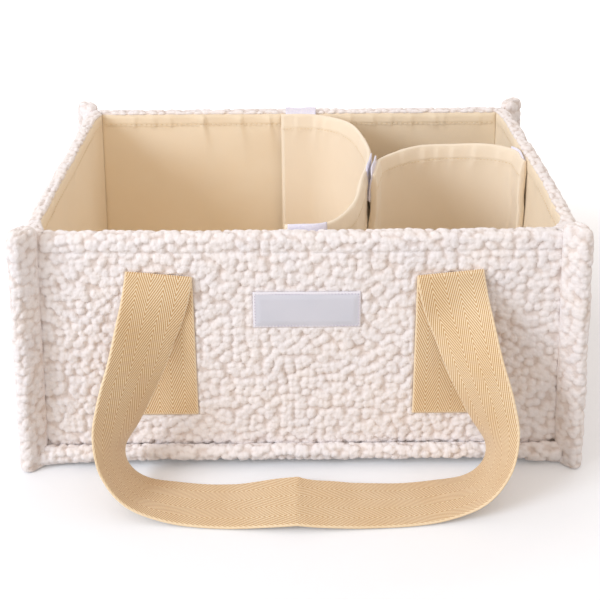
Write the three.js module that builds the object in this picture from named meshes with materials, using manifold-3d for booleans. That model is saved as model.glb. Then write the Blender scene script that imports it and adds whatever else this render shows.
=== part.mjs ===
// Open fabric caddy: four padded walls on a flat base, seam ribs at the corners and along
// the floor, two lift-out dividers and a webbing handle on the front and on the back.
// Millimetres, +Z up, origin on the floor under the middle of the body, front towards -Y.
import * as THREE from 'three';
import { mergeVertices } from 'three/addons/utils/BufferGeometryUtils.js';
import Module from 'manifold-3d';

// Body
const bodyLength = 348; // left to right over the wall faces, at the rim
const bodyWidth = 242; // front to back over the wall faces, at the rim
const rimHeight = 174.5;
const wallSpread = 8.5; // each wall stands this much further out at the floor than at the rim
const sideBow = 8.5; // the side walls stand this much further out at the rim, between corners
const coverThickness = 4; // fluffy outer cloth with its wadding
const boardThickness = 3; // stiff sheet inside walls and base
const liningThickness = 1.4;
const layerGap = 0.3; // clearance between pieces that touch
const rimWrap = 7; // how far the cover turns down inside the rim
const baseUnderside = 8; // height of the base cloth above the floor
const baseCoverThickness = 3.5;

// Seam ribs
const ribReach = 18; // corner of the walls to the tip of the rib
const ribThickness = 11;
const ribNeck = 6.4; // thickness at the stitched groove
const ribHeight = 182;
const ribEndRound = 3;
const rollThickness = 10; // roll along the bottom edge
const rollReach = 9.5; // how far the roll stands out of the wall face
const rollUnderside = 5.5; // height of the roll above the floor at mid wall
const rollEndUnderside = 0.6; // the same height at the corners
const rollDropLength = 60; // the roll comes down to the floor over this length

// Label and webbing handles
const labelWidth = 72;
const labelHeight = 26.5;
const labelThickness = 0.8;
const labelCentreX = 4.4;
const labelCentreZ = 120.3;
const strapWidth = 44;
const strapThickness = 2;
const handleSpacing = 192; // middle of one tab to the middle of the other
const handleCentreX = 3;
const tabBottom = 39.5;
const foldHeight = 145; // height of the fold that the loop swings about
const loopReach = 80; // fold to the loop's outer edge at its middle, forwards along the floor
const loopLift = 1.6; // height of the middle of the strap above the floor, where it lies flat

// Dividers and their hook tapes
const dividerThickness = 5;
const dividerClothThickness = 1;
const longDividerHeight = 157;
const shortDividerHeight = 155;
const tapeThickness = 1.2;
const tapeHeight = 24;
const tapeWidth = 29;
const tapeAboveDivider = 1.2; // the tapes peek over the dividers by this much
const wallTapeBelowRim = 4.8;
const longBackEnd = -15; // x of the long divider's end at the back wall
const longBackTurn = 8; // x where it leaves the back wall
const bowReach = 53.5; // x of the furthest point of its bow
const longFrontTurn = 4; // x where it meets the front wall
const longFrontEnd = -10; // x of its end there
const junctionShare = 0.472; // the short divider joins this far along the long one
const archDepth = 34; // junction to the far side of the short divider's arch

// Colours with roughness
const boucleCloth = { color: 0xf1ebe6, roughness: 0.95, metalness: 0 };
const stiffener = { color: 0xd9d4cc, roughness: 0.8, metalness: 0 };
const liningCloth = { color: 0xeadbbb, roughness: 0.85, metalness: 0 };
const webbing = { color: 0xd9b57c, roughness: 0.8, metalness: 0 };
const satin = { color: 0xd8dae6, roughness: 0.55, metalness: 0 };
const hookTape = { color: 0xcfc8ea, roughness: 0.9, metalness: 0 };

const samePoint = 1e-4; // points closer than this are one
const wallThickness = coverThickness + boardThickness + liningThickness + 2 * layerGap;
const boardFace = coverThickness + layerGap;
const liningFace = boardFace + boardThickness + layerGap;
const coverBottom = baseUnderside + baseCoverThickness + layerGap;
const baseBoardTop = coverBottom + boardThickness;
const baseLiningTop = baseBoardTop + layerGap + liningThickness;
const innerTop = rimHeight - rimWrap - layerGap;
const wallTapeTop = rimHeight - wallTapeBelowRim;
const mitreGap = layerGap / Math.SQRT2;
const cavityHalfWidth = bodyWidth / 2 - wallThickness;

const bowSquareness = 8; // the power that keeps a side wall's bow even up to its corners
const bowSteps = 24;
const wallRungs = 6; // rows of points up a wall, which is not flat where it bows

const wasm = await Module();
wasm.setup();
const group = new THREE.Group();

function addMesh(name, geometry, finish, parent = group) {
  const mesh = new THREE.Mesh(geometry, new THREE.MeshStandardMaterial(finish));
  mesh.name = name;
  parent.add(mesh);
  return mesh;
}

// How far a wall leans out at a height
function spreadAt(z) {
  return wallSpread * (1 - z / rimHeight);
}

function remap(geometry, place) {
  const position = geometry.attributes.position;
  const point = new THREE.Vector3();
  for (let i = 0; i < position.count; i += 1) {
    point.fromBufferAttribute(position, i);
    place(point);
    position.setXYZ(i, point.x, point.y, point.z);
  }
  geometry.deleteAttribute('normal');
  geometry.deleteAttribute('uv');
  const merged = mergeVertices(geometry, samePoint);
  merged.computeVertexNormals();
  return merged;
}

// Extrudes an outline one unit deep, then moves each point by place(a, b, t)
function sweep(outline, steps, place, curveSegments = 8) {
  const shape = outline instanceof THREE.Shape ? outline : new THREE.Shape(outline);
  const options = { depth: 1, steps, bevelEnabled: false, curveSegments };
  const geometry = new THREE.ExtrudeGeometry(shape, options);
  return remap(geometry, (p) => p.copy(place(p.x, p.y, p.z)));
}

function rectangle(x0, x1, y0, y1) {
  return [[x0, y0], [x1, y0], [x1, y1], [x0, y1]].map(([x, y]) => new THREE.Vector2(x, y));
}

function toSolid(geometry) {
  const bare = geometry.clone();
  bare.deleteAttribute('normal');
  const vertProperties = new Float32Array(bare.attributes.position.array);
  const triVerts = new Uint32Array(bare.index.array);
  return new wasm.Manifold(new wasm.Mesh({ numProp: 3, vertProperties, triVerts }));
}

function toGeometry(solid) {
  const mesh = solid.getMesh();
  const geometry = new THREE.BufferGeometry();
  geometry.setAttribute('position', new THREE.BufferAttribute(mesh.vertProperties, 3));
  geometry.setIndex(new THREE.BufferAttribute(mesh.triVerts, 1));
  geometry.computeVertexNormals();
  return geometry;
}

// The four walls: name, turn about Z, half the run along the wall, half the depth across
// and the bow
const sides = [
  { side: 'front', turn: 0, along: bodyLength / 2, across: bodyWidth / 2, bow: 0 },
  { side: 'right', turn: Math.PI / 2, along: bodyWidth / 2, across: bodyLength / 2, bow: sideBow },
  { side: 'back', turn: Math.PI, along: bodyLength / 2, across: bodyWidth / 2, bow: 0 },
  { side: 'left', turn: -Math.PI / 2, along: bodyWidth / 2, across: bodyLength / 2, bow: sideBow },
];

// Distance of a wall's face from the middle of the body. The share runs from -1 to 1 along
// the wall, whose bow grows from the base to the rim.
function faceAt(wall, share, z) {
  const rise = Math.max(0, z - coverBottom) / (rimHeight - coverBottom);
  return wall.across + spreadAt(z) + wall.bow * rise * (1 - share ** bowSquareness);
}

// A layer of a wall: its section holds depth in from the wall face and height
function wallLayer(wall, section) {
  return sweep(section, wall.bow ? bowSteps : 1, (depth, z, t) => {
    const share = Math.sin((t - 0.5) * Math.PI);
    const x = share * (wall.along + spreadAt(z) - depth - mitreGap);
    return new THREE.Vector3(x, depth - faceAt(wall, share, z), z);
  });
}

// Points up or down a wall's section at one depth
function rungs(depth, from, to) {
  const shares = Array.from({ length: wallRungs + 1 }, (_, i) => i / wallRungs);
  return shares.map((share) => new THREE.Vector2(depth, from + (to - from) * share));
}

function panelSection(near, far, bottom, top) {
  return [...rungs(far, bottom, top), ...rungs(near, top, bottom)];
}

function coverSection() {
  const round = wallThickness / 2;
  const shape = new THREE.Shape(rungs(coverThickness, coverBottom, rimHeight - rimWrap));
  shape.lineTo(wallThickness, rimHeight - rimWrap);
  shape.absarc(round, rimHeight - round, round, 0, Math.PI, false);
  rungs(0, rimHeight - round, coverBottom).slice(1).forEach(({ x, y }) => shape.lineTo(x, y));
  return shape;
}

for (const wall of sides) {
  const board = panelSection(boardFace, boardFace + boardThickness, coverBottom, innerTop);
  const lining = panelSection(liningFace, wallThickness, baseLiningTop + layerGap, innerTop);
  addMesh(`${wall.side}_cover`, wallLayer(wall, coverSection()), boucleCloth).rotation.z = wall.turn;
  addMesh(`${wall.side}_board`, wallLayer(wall, board), stiffener).rotation.z = wall.turn;
  addMesh(`${wall.side}_lining`, wallLayer(wall, lining), liningCloth).rotation.z = wall.turn;
}

// A flat layer of the base, set in from the wall faces
function baseLayer(inset, bottom, top) {
  return sweep(rectangle(-1, 1, -1, 1), 1, (a, b, t) => {
    const z = bottom + t * (top - bottom);
    const halfLength = bodyLength / 2 + spreadAt(z) - inset;
    const halfWidth = bodyWidth / 2 + spreadAt(z) - inset;
    return new THREE.Vector3(a * halfLength, b * halfWidth, z);
  });
}

addMesh('base_cover', baseLayer(0, baseUnderside, coverBottom - layerGap), boucleCloth);
addMesh('base_board', baseLayer(liningFace, coverBottom, baseBoardTop), stiffener);
addMesh('base_lining', baseLayer(liningFace, baseBoardTop + layerGap, baseLiningTop), liningCloth);

// A corner rib stands out of the corner at 45 degrees and follows the lean of the walls
function cornerRib() {
  const bulge = ribThickness / 2;
  const root = layerGap * Math.SQRT2;
  const bulgeCentre = ribReach - bulge;
  const shoulder = bulgeCentre / 2;
  const shape = new THREE.Shape();
  shape.moveTo(root, -ribNeck / 2);
  shape.quadraticCurveTo(shoulder / 2, -bulge, shoulder, -bulge);
  shape.absarc(bulgeCentre, 0, bulge, -Math.PI / 2, Math.PI / 2, false);
  shape.lineTo(shoulder, bulge);
  shape.quadraticCurveTo(shoulder / 2, bulge, root, ribNeck / 2);
  const geometry = new THREE.ExtrudeGeometry(shape, {
    depth: ribHeight - 2 * ribEndRound,
    steps: 1,
    curveSegments: 6,
    bevelThickness: ribEndRound,
    bevelSize: ribEndRound / 2,
    bevelOffset: -ribEndRound / 2,
    bevelSegments: 3,
  });
  return remap(geometry, (p) => {
    p.z += ribEndRound;
    p.x += spreadAt(p.z) * Math.SQRT2;
  });
}

const corners = [
  { name: 'front_left', x: -1, y: -1, turn: -0.75 * Math.PI },
  { name: 'front_right', x: 1, y: -1, turn: -0.25 * Math.PI },
  { name: 'back_left', x: -1, y: 1, turn: 0.75 * Math.PI },
  { name: 'back_right', x: 1, y: 1, turn: 0.25 * Math.PI },
];

for (const corner of corners) {
  const rib = addMesh(`${corner.name}_corner_rib`, cornerRib(), boucleCloth);
  rib.position.set(corner.x * bodyLength / 2, corner.y * bodyWidth / 2, 0);
  rib.rotation.z = corner.turn;
}

// The roll along a bottom edge comes down towards the floor at both of its ends
function baseRoll(wall) {
  const radius = rollThickness / 2;
  const centreOut = rollReach - radius;
  const centreUp = rollUnderside + radius;
  const rollTop = centreUp + radius;
  const setback = (ribThickness / 2 + layerGap) * Math.SQRT2;
  const run = wall.along + spreadAt(centreUp) - setback;
  const rootHalf = 0.8 * radius; // half the roll's height where it meets the wall
  const roundTurn = 0.64 * Math.PI; // its round front turns this far up and down from level
  const rollSteps = 24;
  const roundSegments = 10;
  const shape = new THREE.Shape();
  shape.moveTo(layerGap, centreUp - rootHalf);
  shape.absarc(centreOut, centreUp, radius, -roundTurn, roundTurn, false);
  shape.lineTo(layerGap, centreUp + rootHalf);
  const drop = (rollTop - rollEndUnderside) / (rollTop - rollUnderside) - 1;
  return sweep(shape, rollSteps, (out, z, t) => {
    const fromEnd = run * (1 - Math.abs(2 * t - 1));
    const nearEnd = Math.max(0, 1 - fromEnd / rollDropLength) ** 2;
    const height = rollTop - (rollTop - z) * (1 + drop * nearEnd);
    return new THREE.Vector3((1 - 2 * t) * (run + out), -(wall.across + spreadAt(centreUp) + out), height);
  }, roundSegments);
}

for (const wall of sides) {
  addMesh(`${wall.side}_base_rib`, baseRoll(wall), boucleCloth).rotation.z = wall.turn;
}

// A flat piece on the front wall's leaning face, from one distance off the face to another
function wallPatch(wall, x0, x1, z0, z1, near, far) {
  return sweep(rectangle(x0, x1, z0, z1), 1, (x, z, t) => {
    const off = near + t * (far - near);
    return new THREE.Vector3(x, -faceAt(wall, x / wall.along, z) - off, z);
  });
}

const front = sides[0];
const labelLeft = labelCentreX - labelWidth / 2;
const labelBottom = labelCentreZ - labelHeight / 2;
addMesh('front_label', wallPatch(
  front,
  labelLeft,
  labelLeft + labelWidth,
  labelBottom,
  labelBottom + labelHeight,
  layerGap,
  layerGap + labelThickness,
), satin);

// The loop's outer edge from the fold to mid loop, as shares of the fold's distance from
// the middle of the handle, of the loop's reach and of the fold's height, and the
// direction across the strap. It turns towards the middle as it comes down, lies flat on
// the floor and rises a little at the crease in its middle.
const loopStations = [
  { edge: [1, 0, 1], across: [-1, 0, 0] },
  { edge: [1.01, 0.04, 0.955], across: [-0.97, 0.02, -0.25] },
  { edge: [1.025, 0.125, 0.9], across: [-0.9, 0.2, -0.4] },
  { edge: [1.045, 0.225, 0.84], across: [-0.83, 0.32, -0.46] },
  { edge: [1.085, 0.41, 0.695], across: [-0.77, 0.49, -0.41] },
  { edge: [1.145, 0.55, 0.533], across: [-0.71, 0.62, -0.34] },
  { edge: [1.18, 0.65, 0.38], across: [-0.58, 0.77, -0.27] },
  { edge: [1.155, 0.745, 0.24], across: [-0.27, 0.93, -0.24] },
  { edge: [1.11, 0.79, 0.168], across: [-0.16, 0.95, -0.24] },
  { edge: [1.05, 0.83, 0.109], across: [-0.13, 0.965, -0.215] },
  { edge: [0.965, 0.87, 0.06], across: [-0.13, 0.975, -0.16] },
  { edge: [0.78, 0.92, 0.013], across: [-0.13, 0.99, -0.04] },
  { edge: [0.585, 0.955, 0], across: [-0.11, 0.994, 0] },
  { edge: [0.195, 0.99, 0.004], across: [-0.035, 0.999, 0.05] },
];
const midLoop = { edge: [0, 1, 0.015], across: [0, 0.995, 0.1] };
// The loop's rounded end lies in front of the tab, which lies in front of the wall
const foldDepth = bodyWidth / 2 + spreadAt(foldHeight) + 2 * layerGap + 1.5 * strapThickness;

function handleLoop() {
  const edges = [];
  const crossings = [];
  const foldX = (handleSpacing + strapWidth) / 2;
  const addStation = (station, hand) => {
    const [out, reach, height] = station.edge;
    edges.push(new THREE.Vector3(
      hand * foldX * out,
      -foldDepth - loopReach * reach,
      loopLift + (foldHeight - loopLift) * height,
    ));
    const [x, y, z] = station.across;
    crossings.push(new THREE.Vector3(hand * x, y, z).normalize());
  };
  loopStations.forEach((station) => addStation(station, -1));
  addStation(midLoop, 1);
  [...loopStations].reverse().forEach((station) => addStation(station, 1));
  const edgeCurve = new THREE.CatmullRomCurve3(edges);
  const acrossCurve = new THREE.CatmullRomCurve3(crossings);
  const half = strapThickness / 2;
  const noseSteps = 3; // steps of the rounded end at each fold
  const endShare = 0.2; // share of the thickness left at the very end
  const steps = 72;
  const total = steps + 2 * noseSteps;
  const section = rectangle(0, strapWidth, -1, 1);
  return sweep(section, total, (across, side, t) => {
    const index = Math.round(t * total) - noseSteps;
    const along = THREE.MathUtils.clamp(index / steps, 0, 1);
    const beyond = index < 0 ? index / noseSteps : Math.max(0, (index - steps) / noseSteps);
    const turn = beyond * Math.PI / 2;
    const tangent = edgeCurve.getTangent(along);
    const crossing = acrossCurve.getPoint(along).normalize();
    const normal = new THREE.Vector3().crossVectors(tangent, crossing).normalize();
    return edgeCurve.getPoint(along)
      .addScaledVector(crossing, across)
      .addScaledVector(tangent, half * Math.sin(turn))
      .addScaledVector(normal, half * side * Math.max(Math.cos(turn), endShare));
  });
}

for (const [side, turn] of [['front', 0], ['back', Math.PI]]) {
  const handle = new THREE.Group();
  handle.rotation.z = turn;
  group.add(handle);
  for (const [hand, sign] of [['left', -1], ['right', 1]]) {
    const middle = handleCentreX + sign * handleSpacing / 2;
    addMesh(`${side}_handle_${hand}_tab`, wallPatch(
      front,
      middle - strapWidth / 2,
      middle + strapWidth / 2,
      tabBottom,
      foldHeight + strapThickness / 2,
      layerGap,
      layerGap + strapThickness,
    ), webbing, handle);
  }
  addMesh(`${side}_handle_loop`, handleLoop(), webbing, handle).position.x = handleCentreX;
}

// Dividers: each is an upright panel along a plan curve
const dividerBottom = baseLiningTop + layerGap;
const longDividerTop = dividerBottom + longDividerHeight;
const shortDividerTop = dividerBottom + shortDividerHeight;
const tapeStack = 2 * tapeThickness + 3 * layerGap;
const dividerEnd = cavityHalfWidth - tapeStack - dividerThickness / 2;

// A point of the long divider's plan by its shares of the bow's reach and of the half depth
function bow(across, depth) {
  return [across * bowReach, depth * dividerEnd];
}

// Long divider in plan: flat on the back wall, a bow towards the right, flat on the front wall
const longPlan = new THREE.Path();
longPlan.moveTo(longBackEnd, dividerEnd);
longPlan.lineTo(longBackTurn, dividerEnd);
longPlan.bezierCurveTo(...bow(0.635, 1), ...bow(0.98, 0.75), ...bow(1, 0.3));
longPlan.bezierCurveTo(...bow(1.01, 0.11), ...bow(0.88, -0.1), ...bow(0.832, -0.28));
longPlan.bezierCurveTo(...bow(0.785, -0.47), ...bow(0.748, -1), longFrontTurn, -dividerEnd);
longPlan.lineTo(longFrontEnd, -dividerEnd);

// Points along a plan curve, set off to its left, between two distances from its start
function offsetPoints(curve, from, to, offset, count) {
  const length = curve.getLength();
  const points = [];
  for (let i = 0; i <= count; i += 1) {
    const share = THREE.MathUtils.clamp((from + (to - from) * i / count) / length, 0, 1);
    const tangent = curve.getTangentAt(share);
    const point = curve.getPointAt(share);
    points.push(new THREE.Vector2(point.x - tangent.y * offset, point.y + tangent.x * offset));
  }
  return points;
}

// An upright strip along a plan curve between two offsets and two heights
function strip(curve, from, to, near, far, bottom, top, count) {
  const outline = [
    ...offsetPoints(curve, from, to, near, count),
    ...offsetPoints(curve, from, to, far, count).reverse(),
  ];
  return sweep(outline, 1, (x, y, t) => new THREE.Vector3(x, y, bottom + t * (top - bottom)));
}

// The cloth sleeve of a divider is open at the bottom, where the stiff sheet goes in
function sleeve(curve, top, count) {
  const length = curve.getLength();
  const half = dividerThickness / 2;
  const inside = half - dividerClothThickness;
  const cloth = dividerClothThickness;
  const outer = toSolid(strip(curve, 0, length, -half, half, dividerBottom, top, count));
  const below = dividerBottom - dividerClothThickness;
  const pocket = toSolid(strip(curve, cloth, length - cloth, -inside, inside, below, top - cloth, count));
  return toGeometry(outer.subtract(pocket));
}

function sheet(curve, top, count) {
  const length = curve.getLength();
  const margin = dividerClothThickness + layerGap;
  const half = dividerThickness / 2 - margin;
  return strip(curve, margin, length - margin, -half, half, dividerBottom, top - margin, count);
}

const longSteps = 44;
const tapeSteps = 8;
const junctionSteps = 4;
const longLength = longPlan.getLength();
const tapeNear = dividerThickness / 2 + layerGap;
const tapeFar = tapeNear + tapeThickness;

// A hook tape on the outer face of a divider, which lies to the left of its plan curve
function dividerTape(curve, from, top) {
  const tapeTop = top + tapeAboveDivider;
  const bottom = tapeTop - tapeHeight;
  return strip(curve, from, from + tapeWidth, tapeNear, tapeFar, bottom, tapeTop, tapeSteps);
}

addMesh('long_divider_cover', sleeve(longPlan, longDividerTop, longSteps), liningCloth);
addMesh('long_divider_board', sheet(longPlan, longDividerTop, longSteps), stiffener);
addMesh('long_divider_back_tape', dividerTape(longPlan, 0, longDividerTop), hookTape);
const lastTape = longLength - tapeWidth;
addMesh('long_divider_front_tape', dividerTape(longPlan, lastTape, longDividerTop), hookTape);

// The short divider leaves the right face of the long one and arches to the right wall
const junctionStart = junctionShare * longLength;
const junctionTape = dividerTape(longPlan, junctionStart, shortDividerTop);
addMesh('long_divider_side_tape', junctionTape, hookTape);
const junctionOffset = dividerThickness + tapeStack;
const junctionEnd = junctionStart + tapeWidth;
const junction = offsetPoints(longPlan, junctionEnd, junctionStart, junctionOffset, junctionSteps);
const archStart = junction[junctionSteps];
const rightFace = faceAt(sides[1], 0, wallTapeTop - tapeHeight);
const archEnd = rightFace - wallThickness - tapeStack - dividerThickness / 2;

// A point of the arch by its shares of the way to the right wall and to the arch's far side
function arch(across, rise) {
  const x = archStart.x + across * (archEnd - archStart.x);
  return [x, archStart.y + rise * archDepth];
}

const shortPlan = new THREE.Path(junction);
shortPlan.bezierCurveTo(...arch(0.035, 0.3), ...arch(0.257, 1), ...arch(0.537, 1));
shortPlan.bezierCurveTo(...arch(0.743, 1), ...arch(0.995, 0.82), ...arch(1, 0.41));
shortPlan.lineTo(...arch(1, -0.15));
const shortSteps = 40;
const shortLength = shortPlan.getLength();

addMesh('short_divider_cover', sleeve(shortPlan, shortDividerTop, shortSteps), liningCloth);
addMesh('short_divider_board', sheet(shortPlan, shortDividerTop, shortSteps), stiffener);
addMesh('short_divider_left_tape', dividerTape(shortPlan, 0, shortDividerTop), hookTape);
const shortLast = shortLength - tapeWidth;
addMesh('short_divider_right_tape', dividerTape(shortPlan, shortLast, shortDividerTop), hookTape);

// Loop tapes sewn to the lining opposite the hook tapes
function wallTape(name, wall, middle) {
  const geometry = wallPatch(
    wall,
    middle - tapeWidth / 2,
    middle + tapeWidth / 2,
    wallTapeTop - tapeHeight,
    wallTapeTop,
    -wallThickness - layerGap - tapeThickness,
    -wallThickness - layerGap,
  );
  addMesh(name, geometry, hookTape).rotation.z = wall.turn;
}

const backTapeMiddle = longPlan.getPointAt(tapeWidth / 2 / longLength).x;
const frontTapeMiddle = longPlan.getPointAt(1 - tapeWidth / 2 / longLength).x;
const rightTapeMiddle = shortPlan.getPointAt(1 - tapeWidth / 2 / shortLength).y;
wallTape('back_wall_tape', sides[2], -backTapeMiddle);
wallTape('front_wall_tape', sides[0], frontTapeMiddle);
wallTape('right_wall_tape', sides[1], rightTapeMiddle);

export default group;
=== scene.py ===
import math
from functools import partial
import bpy
import numpy as np
from mathutils import Matrix, Vector


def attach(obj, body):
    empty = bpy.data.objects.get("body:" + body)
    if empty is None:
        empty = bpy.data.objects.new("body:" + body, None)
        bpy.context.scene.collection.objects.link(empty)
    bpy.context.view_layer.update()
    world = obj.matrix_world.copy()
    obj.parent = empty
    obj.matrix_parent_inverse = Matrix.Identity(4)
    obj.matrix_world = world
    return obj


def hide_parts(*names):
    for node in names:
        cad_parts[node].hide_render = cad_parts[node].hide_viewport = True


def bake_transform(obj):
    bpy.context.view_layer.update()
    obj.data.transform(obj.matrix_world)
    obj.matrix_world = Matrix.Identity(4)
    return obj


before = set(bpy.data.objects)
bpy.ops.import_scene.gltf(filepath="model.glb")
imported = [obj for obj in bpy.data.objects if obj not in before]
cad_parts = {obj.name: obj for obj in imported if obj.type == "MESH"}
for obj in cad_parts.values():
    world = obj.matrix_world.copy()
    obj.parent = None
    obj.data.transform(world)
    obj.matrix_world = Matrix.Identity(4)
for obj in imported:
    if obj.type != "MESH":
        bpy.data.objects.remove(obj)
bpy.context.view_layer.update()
print("frame loaded")

# Shapes are worked out in millimetres and made in metres
metresPerMm = 0.001
clearOfFloor = 0.0002

basket = {
    "halfLength": 174.0,  # wall face to the middle, at the rim
    "halfWidth": 121.0,
    "rim": 174.5,
    "spread": 8.5,  # the walls lean out by this much at the floor
    "wall": 9.0,  # thickness of a wall
    "backRimLift": 2.0,  # the back rim is pulled up a little
    "frontRimDrop": 1.0,  # the front rim lies lower
    "frontRimSag": 1.0,  # and sags in its middle
    "bowStart": 11.8,  # height at which the bow of the side walls starts
    "bowSharpness": (20, 10),  # how suddenly it ends at the front and at the back corners
}

# The side walls bow out at the rim, a little more towards the front
walls = {
    "front": {"turn": 0.0, "along": 174.0, "across": 121.0},
    "right": {"turn": math.pi / 2, "along": 121.0, "across": 174.0, "frontAt": -1,
              "backBow": 5.0, "frontBow": 10.4, "bowGrowth": 1.2},
    "back": {"turn": math.pi, "along": 174.0, "across": 121.0},
    "left": {"turn": -math.pi / 2, "along": 121.0, "across": 174.0, "frontAt": 1,
             "backBow": 5.0, "frontBow": 9.2, "bowGrowth": 1.6},
}


def linear(hexColour):
    channels = [int(hexColour[i:i + 2], 16) / 255 for i in (1, 3, 5)]
    bent = [c / 12.92 if c <= 0.04045 else ((c + 0.055) / 1.055) ** 2.4 for c in channels]
    return (*bent, 1.0)


# The socket in use under a name, or the first in use; a number counts from 0
def pick(sockets, label=None):
    if isinstance(label, int):
        return sockets[label]
    return next(s for s in sockets if s.enabled and label in (None, s.name))


# Sets a node's inputs, each to a number, a hex colour, a socket or a node's first output
def fill(node, inputs):
    for label, value in inputs.items():
        socket = pick(node.inputs, label)
        if isinstance(value, bpy.types.Node):
            value = pick(value.outputs)
        if isinstance(value, bpy.types.NodeSocket):
            node.id_data.links.new(value, socket)
        else:
            isColour = isinstance(value, str) and value.startswith("#")
            socket.default_value = linear(value) if isColour else value


# Adds a node. "Math.ADD" is a kind with its operation, inputs in a row go in their order, and
# a mix is one of colours.
def addNode(tree, kind, inputs=(), **settings):
    kind, _, operation = kind.partition(".")
    node = tree.nodes.new(kind if "Node" in kind else "ShaderNode" + kind)
    if kind == "Mix":
        settings["data_type"] = "RGBA"
    if operation:
        settings["operation"] = operation
    for key, value in settings.items():
        setattr(node, key, value)
    fill(node, inputs if isinstance(inputs, dict) else dict(enumerate(inputs)))
    return node


# The empty node tree of a material or a world, as the function that adds its nodes
def emptyNodes(owner):
    owner.use_nodes = True
    owner.node_tree.nodes.clear()
    return partial(addNode, owner.node_tree)


def newMesh(name, points, edges=(), faces=()):
    mesh = bpy.data.meshes.new(name)
    mesh.from_pydata(points, edges, faces)
    return mesh


def newObject(name, data):
    piece = bpy.data.objects.new(name, data)
    bpy.context.collection.objects.link(piece)
    return piece


# Numbers or arrays side by side as points
def together(*parts):
    return np.stack(np.broadcast_arrays(*parts), -1)


def unit(vectors):
    return vectors / np.linalg.norm(vectors, axis=-1, keepdims=True)


# The steps from point to point of a line, and the distances from its start that they make
def stepLengths(points):
    return np.linalg.norm(np.diff(points, axis=0), axis=1)


def runningSum(steps):
    return np.concatenate([[0], np.cumsum(steps)])


def turned(x, y, angle):
    cos, sin = math.cos(angle), math.sin(angle)
    return cos * x - sin * y, sin * x + cos * y


def smoothStep(x):
    x = np.clip(x, 0.0, 1.0)
    return x * x * (3 - 2 * x)


# 0 at both edges of a cloth and 1 further in than a reach
def fromEdge(half, x, reach):
    return smoothStep((half - np.abs(x)) / reach)


# Slow unevenness of cloth: waves, each with its height, two lengths and a start
def waves(x, z, terms):
    return sum(size * np.sin(x / alongX + z / alongZ + start)
               for size, alongX, alongZ, start in terms)


def spreadAt(z):
    return basket["spread"] * (1 - z / basket["rim"])


# Half the run of a wall's layer that lies at a depth behind its face
def halfRunAt(side, z, depth, clearance=0.0):
    return walls[side]["along"] + spreadAt(z) - depth - clearance


# Half the length and width of a layer of the floor
def floorHalves(z, inset):
    return [basket[half] + spreadAt(z) - inset for half in ("halfLength", "halfWidth")]


# How far the rim stands above or below its level at a place in plan
def rimLift(x, y):
    toBack = np.clip((y + basket["halfWidth"]) / (2 * basket["halfWidth"]), 0, 1)
    sag = basket["frontRimSag"] * np.clip(1 - (x / basket["halfLength"]) ** 2, 0, 1)
    return (toBack - 1) * (basket["frontRimDrop"] + sag) + toBack ** 2 * basket["backRimLift"]


# How far a wall bows out: none at its corners and its base
def bowAt(wall, along, out, z):
    if "frontAt" not in wall:
        return 0
    reach = wall["along"] + spreadAt(z) + np.minimum(out, 0)
    toFront = wall["frontAt"] * np.clip(along / reach, -1, 1)
    rise = np.clip((z - basket["bowStart"]) / (basket["rim"] - basket["bowStart"]), 0, 1.05)
    growth = smoothStep((toFront + 0.8) / wall["bowGrowth"])
    size = wall["backBow"] + (wall["frontBow"] - wall["backBow"]) * growth
    sharpness = np.where(toFront > 0, *basket["bowSharpness"])
    return size * rise * (1 - np.abs(toFront) ** sharpness)


# A point by its place along a wall, its distance out of the wall face and its height
def onWall(side, along, out, z):
    wall = walls[side]
    along, out, z = np.broadcast_arrays(along, out, z)
    y = -(wall["across"] + spreadAt(z) + out + bowAt(wall, along, out, z))
    px, py = turned(along, y, wall["turn"])
    return together(px, py, z + rimLift(px, py) * np.clip(z / basket["rim"], 0, 1) ** 3)


# A closed section: heights at one offset, and back down at another
def thereAndBack(z, first, second):
    return np.concatenate([z, z[::-1]]), np.concatenate([0 * z + first, 0 * z + second])


# Points spaced evenly along a line of points
def evenly(points, count, closed=False):
    points = np.asarray(points, float)
    if closed:
        points = np.vstack([points, points[:1]])
    length = runningSum(stepLengths(points))
    at = np.linspace(0, length[-1], count + 1 if closed else count)
    even = np.stack([np.interp(at, length, points[:, n]) for n in range(points.shape[1])], -1)
    return even[:-1] if closed else even


def cubic(a, b, c, d, count=40):
    t = np.linspace(0, 1, count)[:, None]
    a, b, c, d = (np.array(p, float) for p in (a, b, c, d))
    return (1 - t) ** 3 * a + 3 * (1 - t) ** 2 * t * b + 3 * (1 - t) * t ** 2 * c + t ** 3 * d


# A closed skin over a row of closed rings, with its ends filled
def skin(name, rings, values=None, uv=None):
    rows, columns = rings.shape[:2]
    points = rings.reshape(-1, 3) * metresPerMm
    i, j = np.meshgrid(np.arange(rows - 1), np.arange(columns), indexing="ij")
    k = (j + 1) % columns
    quads = np.stack([i * columns + j, i * columns + k, (i + 1) * columns + k,
                      (i + 1) * columns + j], -1).reshape(-1, 4)
    a, b, c, d = (points[quads[:, n]] for n in range(4))
    middle = points.mean(0)
    inside = np.einsum("ij,ij->i", a - middle, np.cross(b - middle, c - middle)).sum()
    inside += np.einsum("ij,ij->i", a - middle, np.cross(c - middle, d - middle)).sum()
    faces = quads.tolist()
    faces.append(list(range(columns))[::-1])
    faces.append([(rows - 1) * columns + n for n in range(columns)])
    if inside < 0:
        faces = [face[::-1] for face in faces]
    mesh = newMesh(name, points.tolist(), faces=faces)
    mesh.polygons.foreach_set("use_smooth", [True] * len(mesh.polygons))
    for key, value in (values or {}).items():
        layer = mesh.attributes.new(key, "FLOAT", "POINT")
        layer.data.foreach_set("value", np.ascontiguousarray(value, float).ravel())
    if uv is not None:
        loops = np.empty(len(mesh.loops), int)
        mesh.loops.foreach_get("vertex_index", loops)
        layer = mesh.uv_layers.new(name="weave")
        layer.data.foreach_set("uv", uv.reshape(-1, 2)[loops].ravel())
    return newObject(name, mesh)


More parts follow.
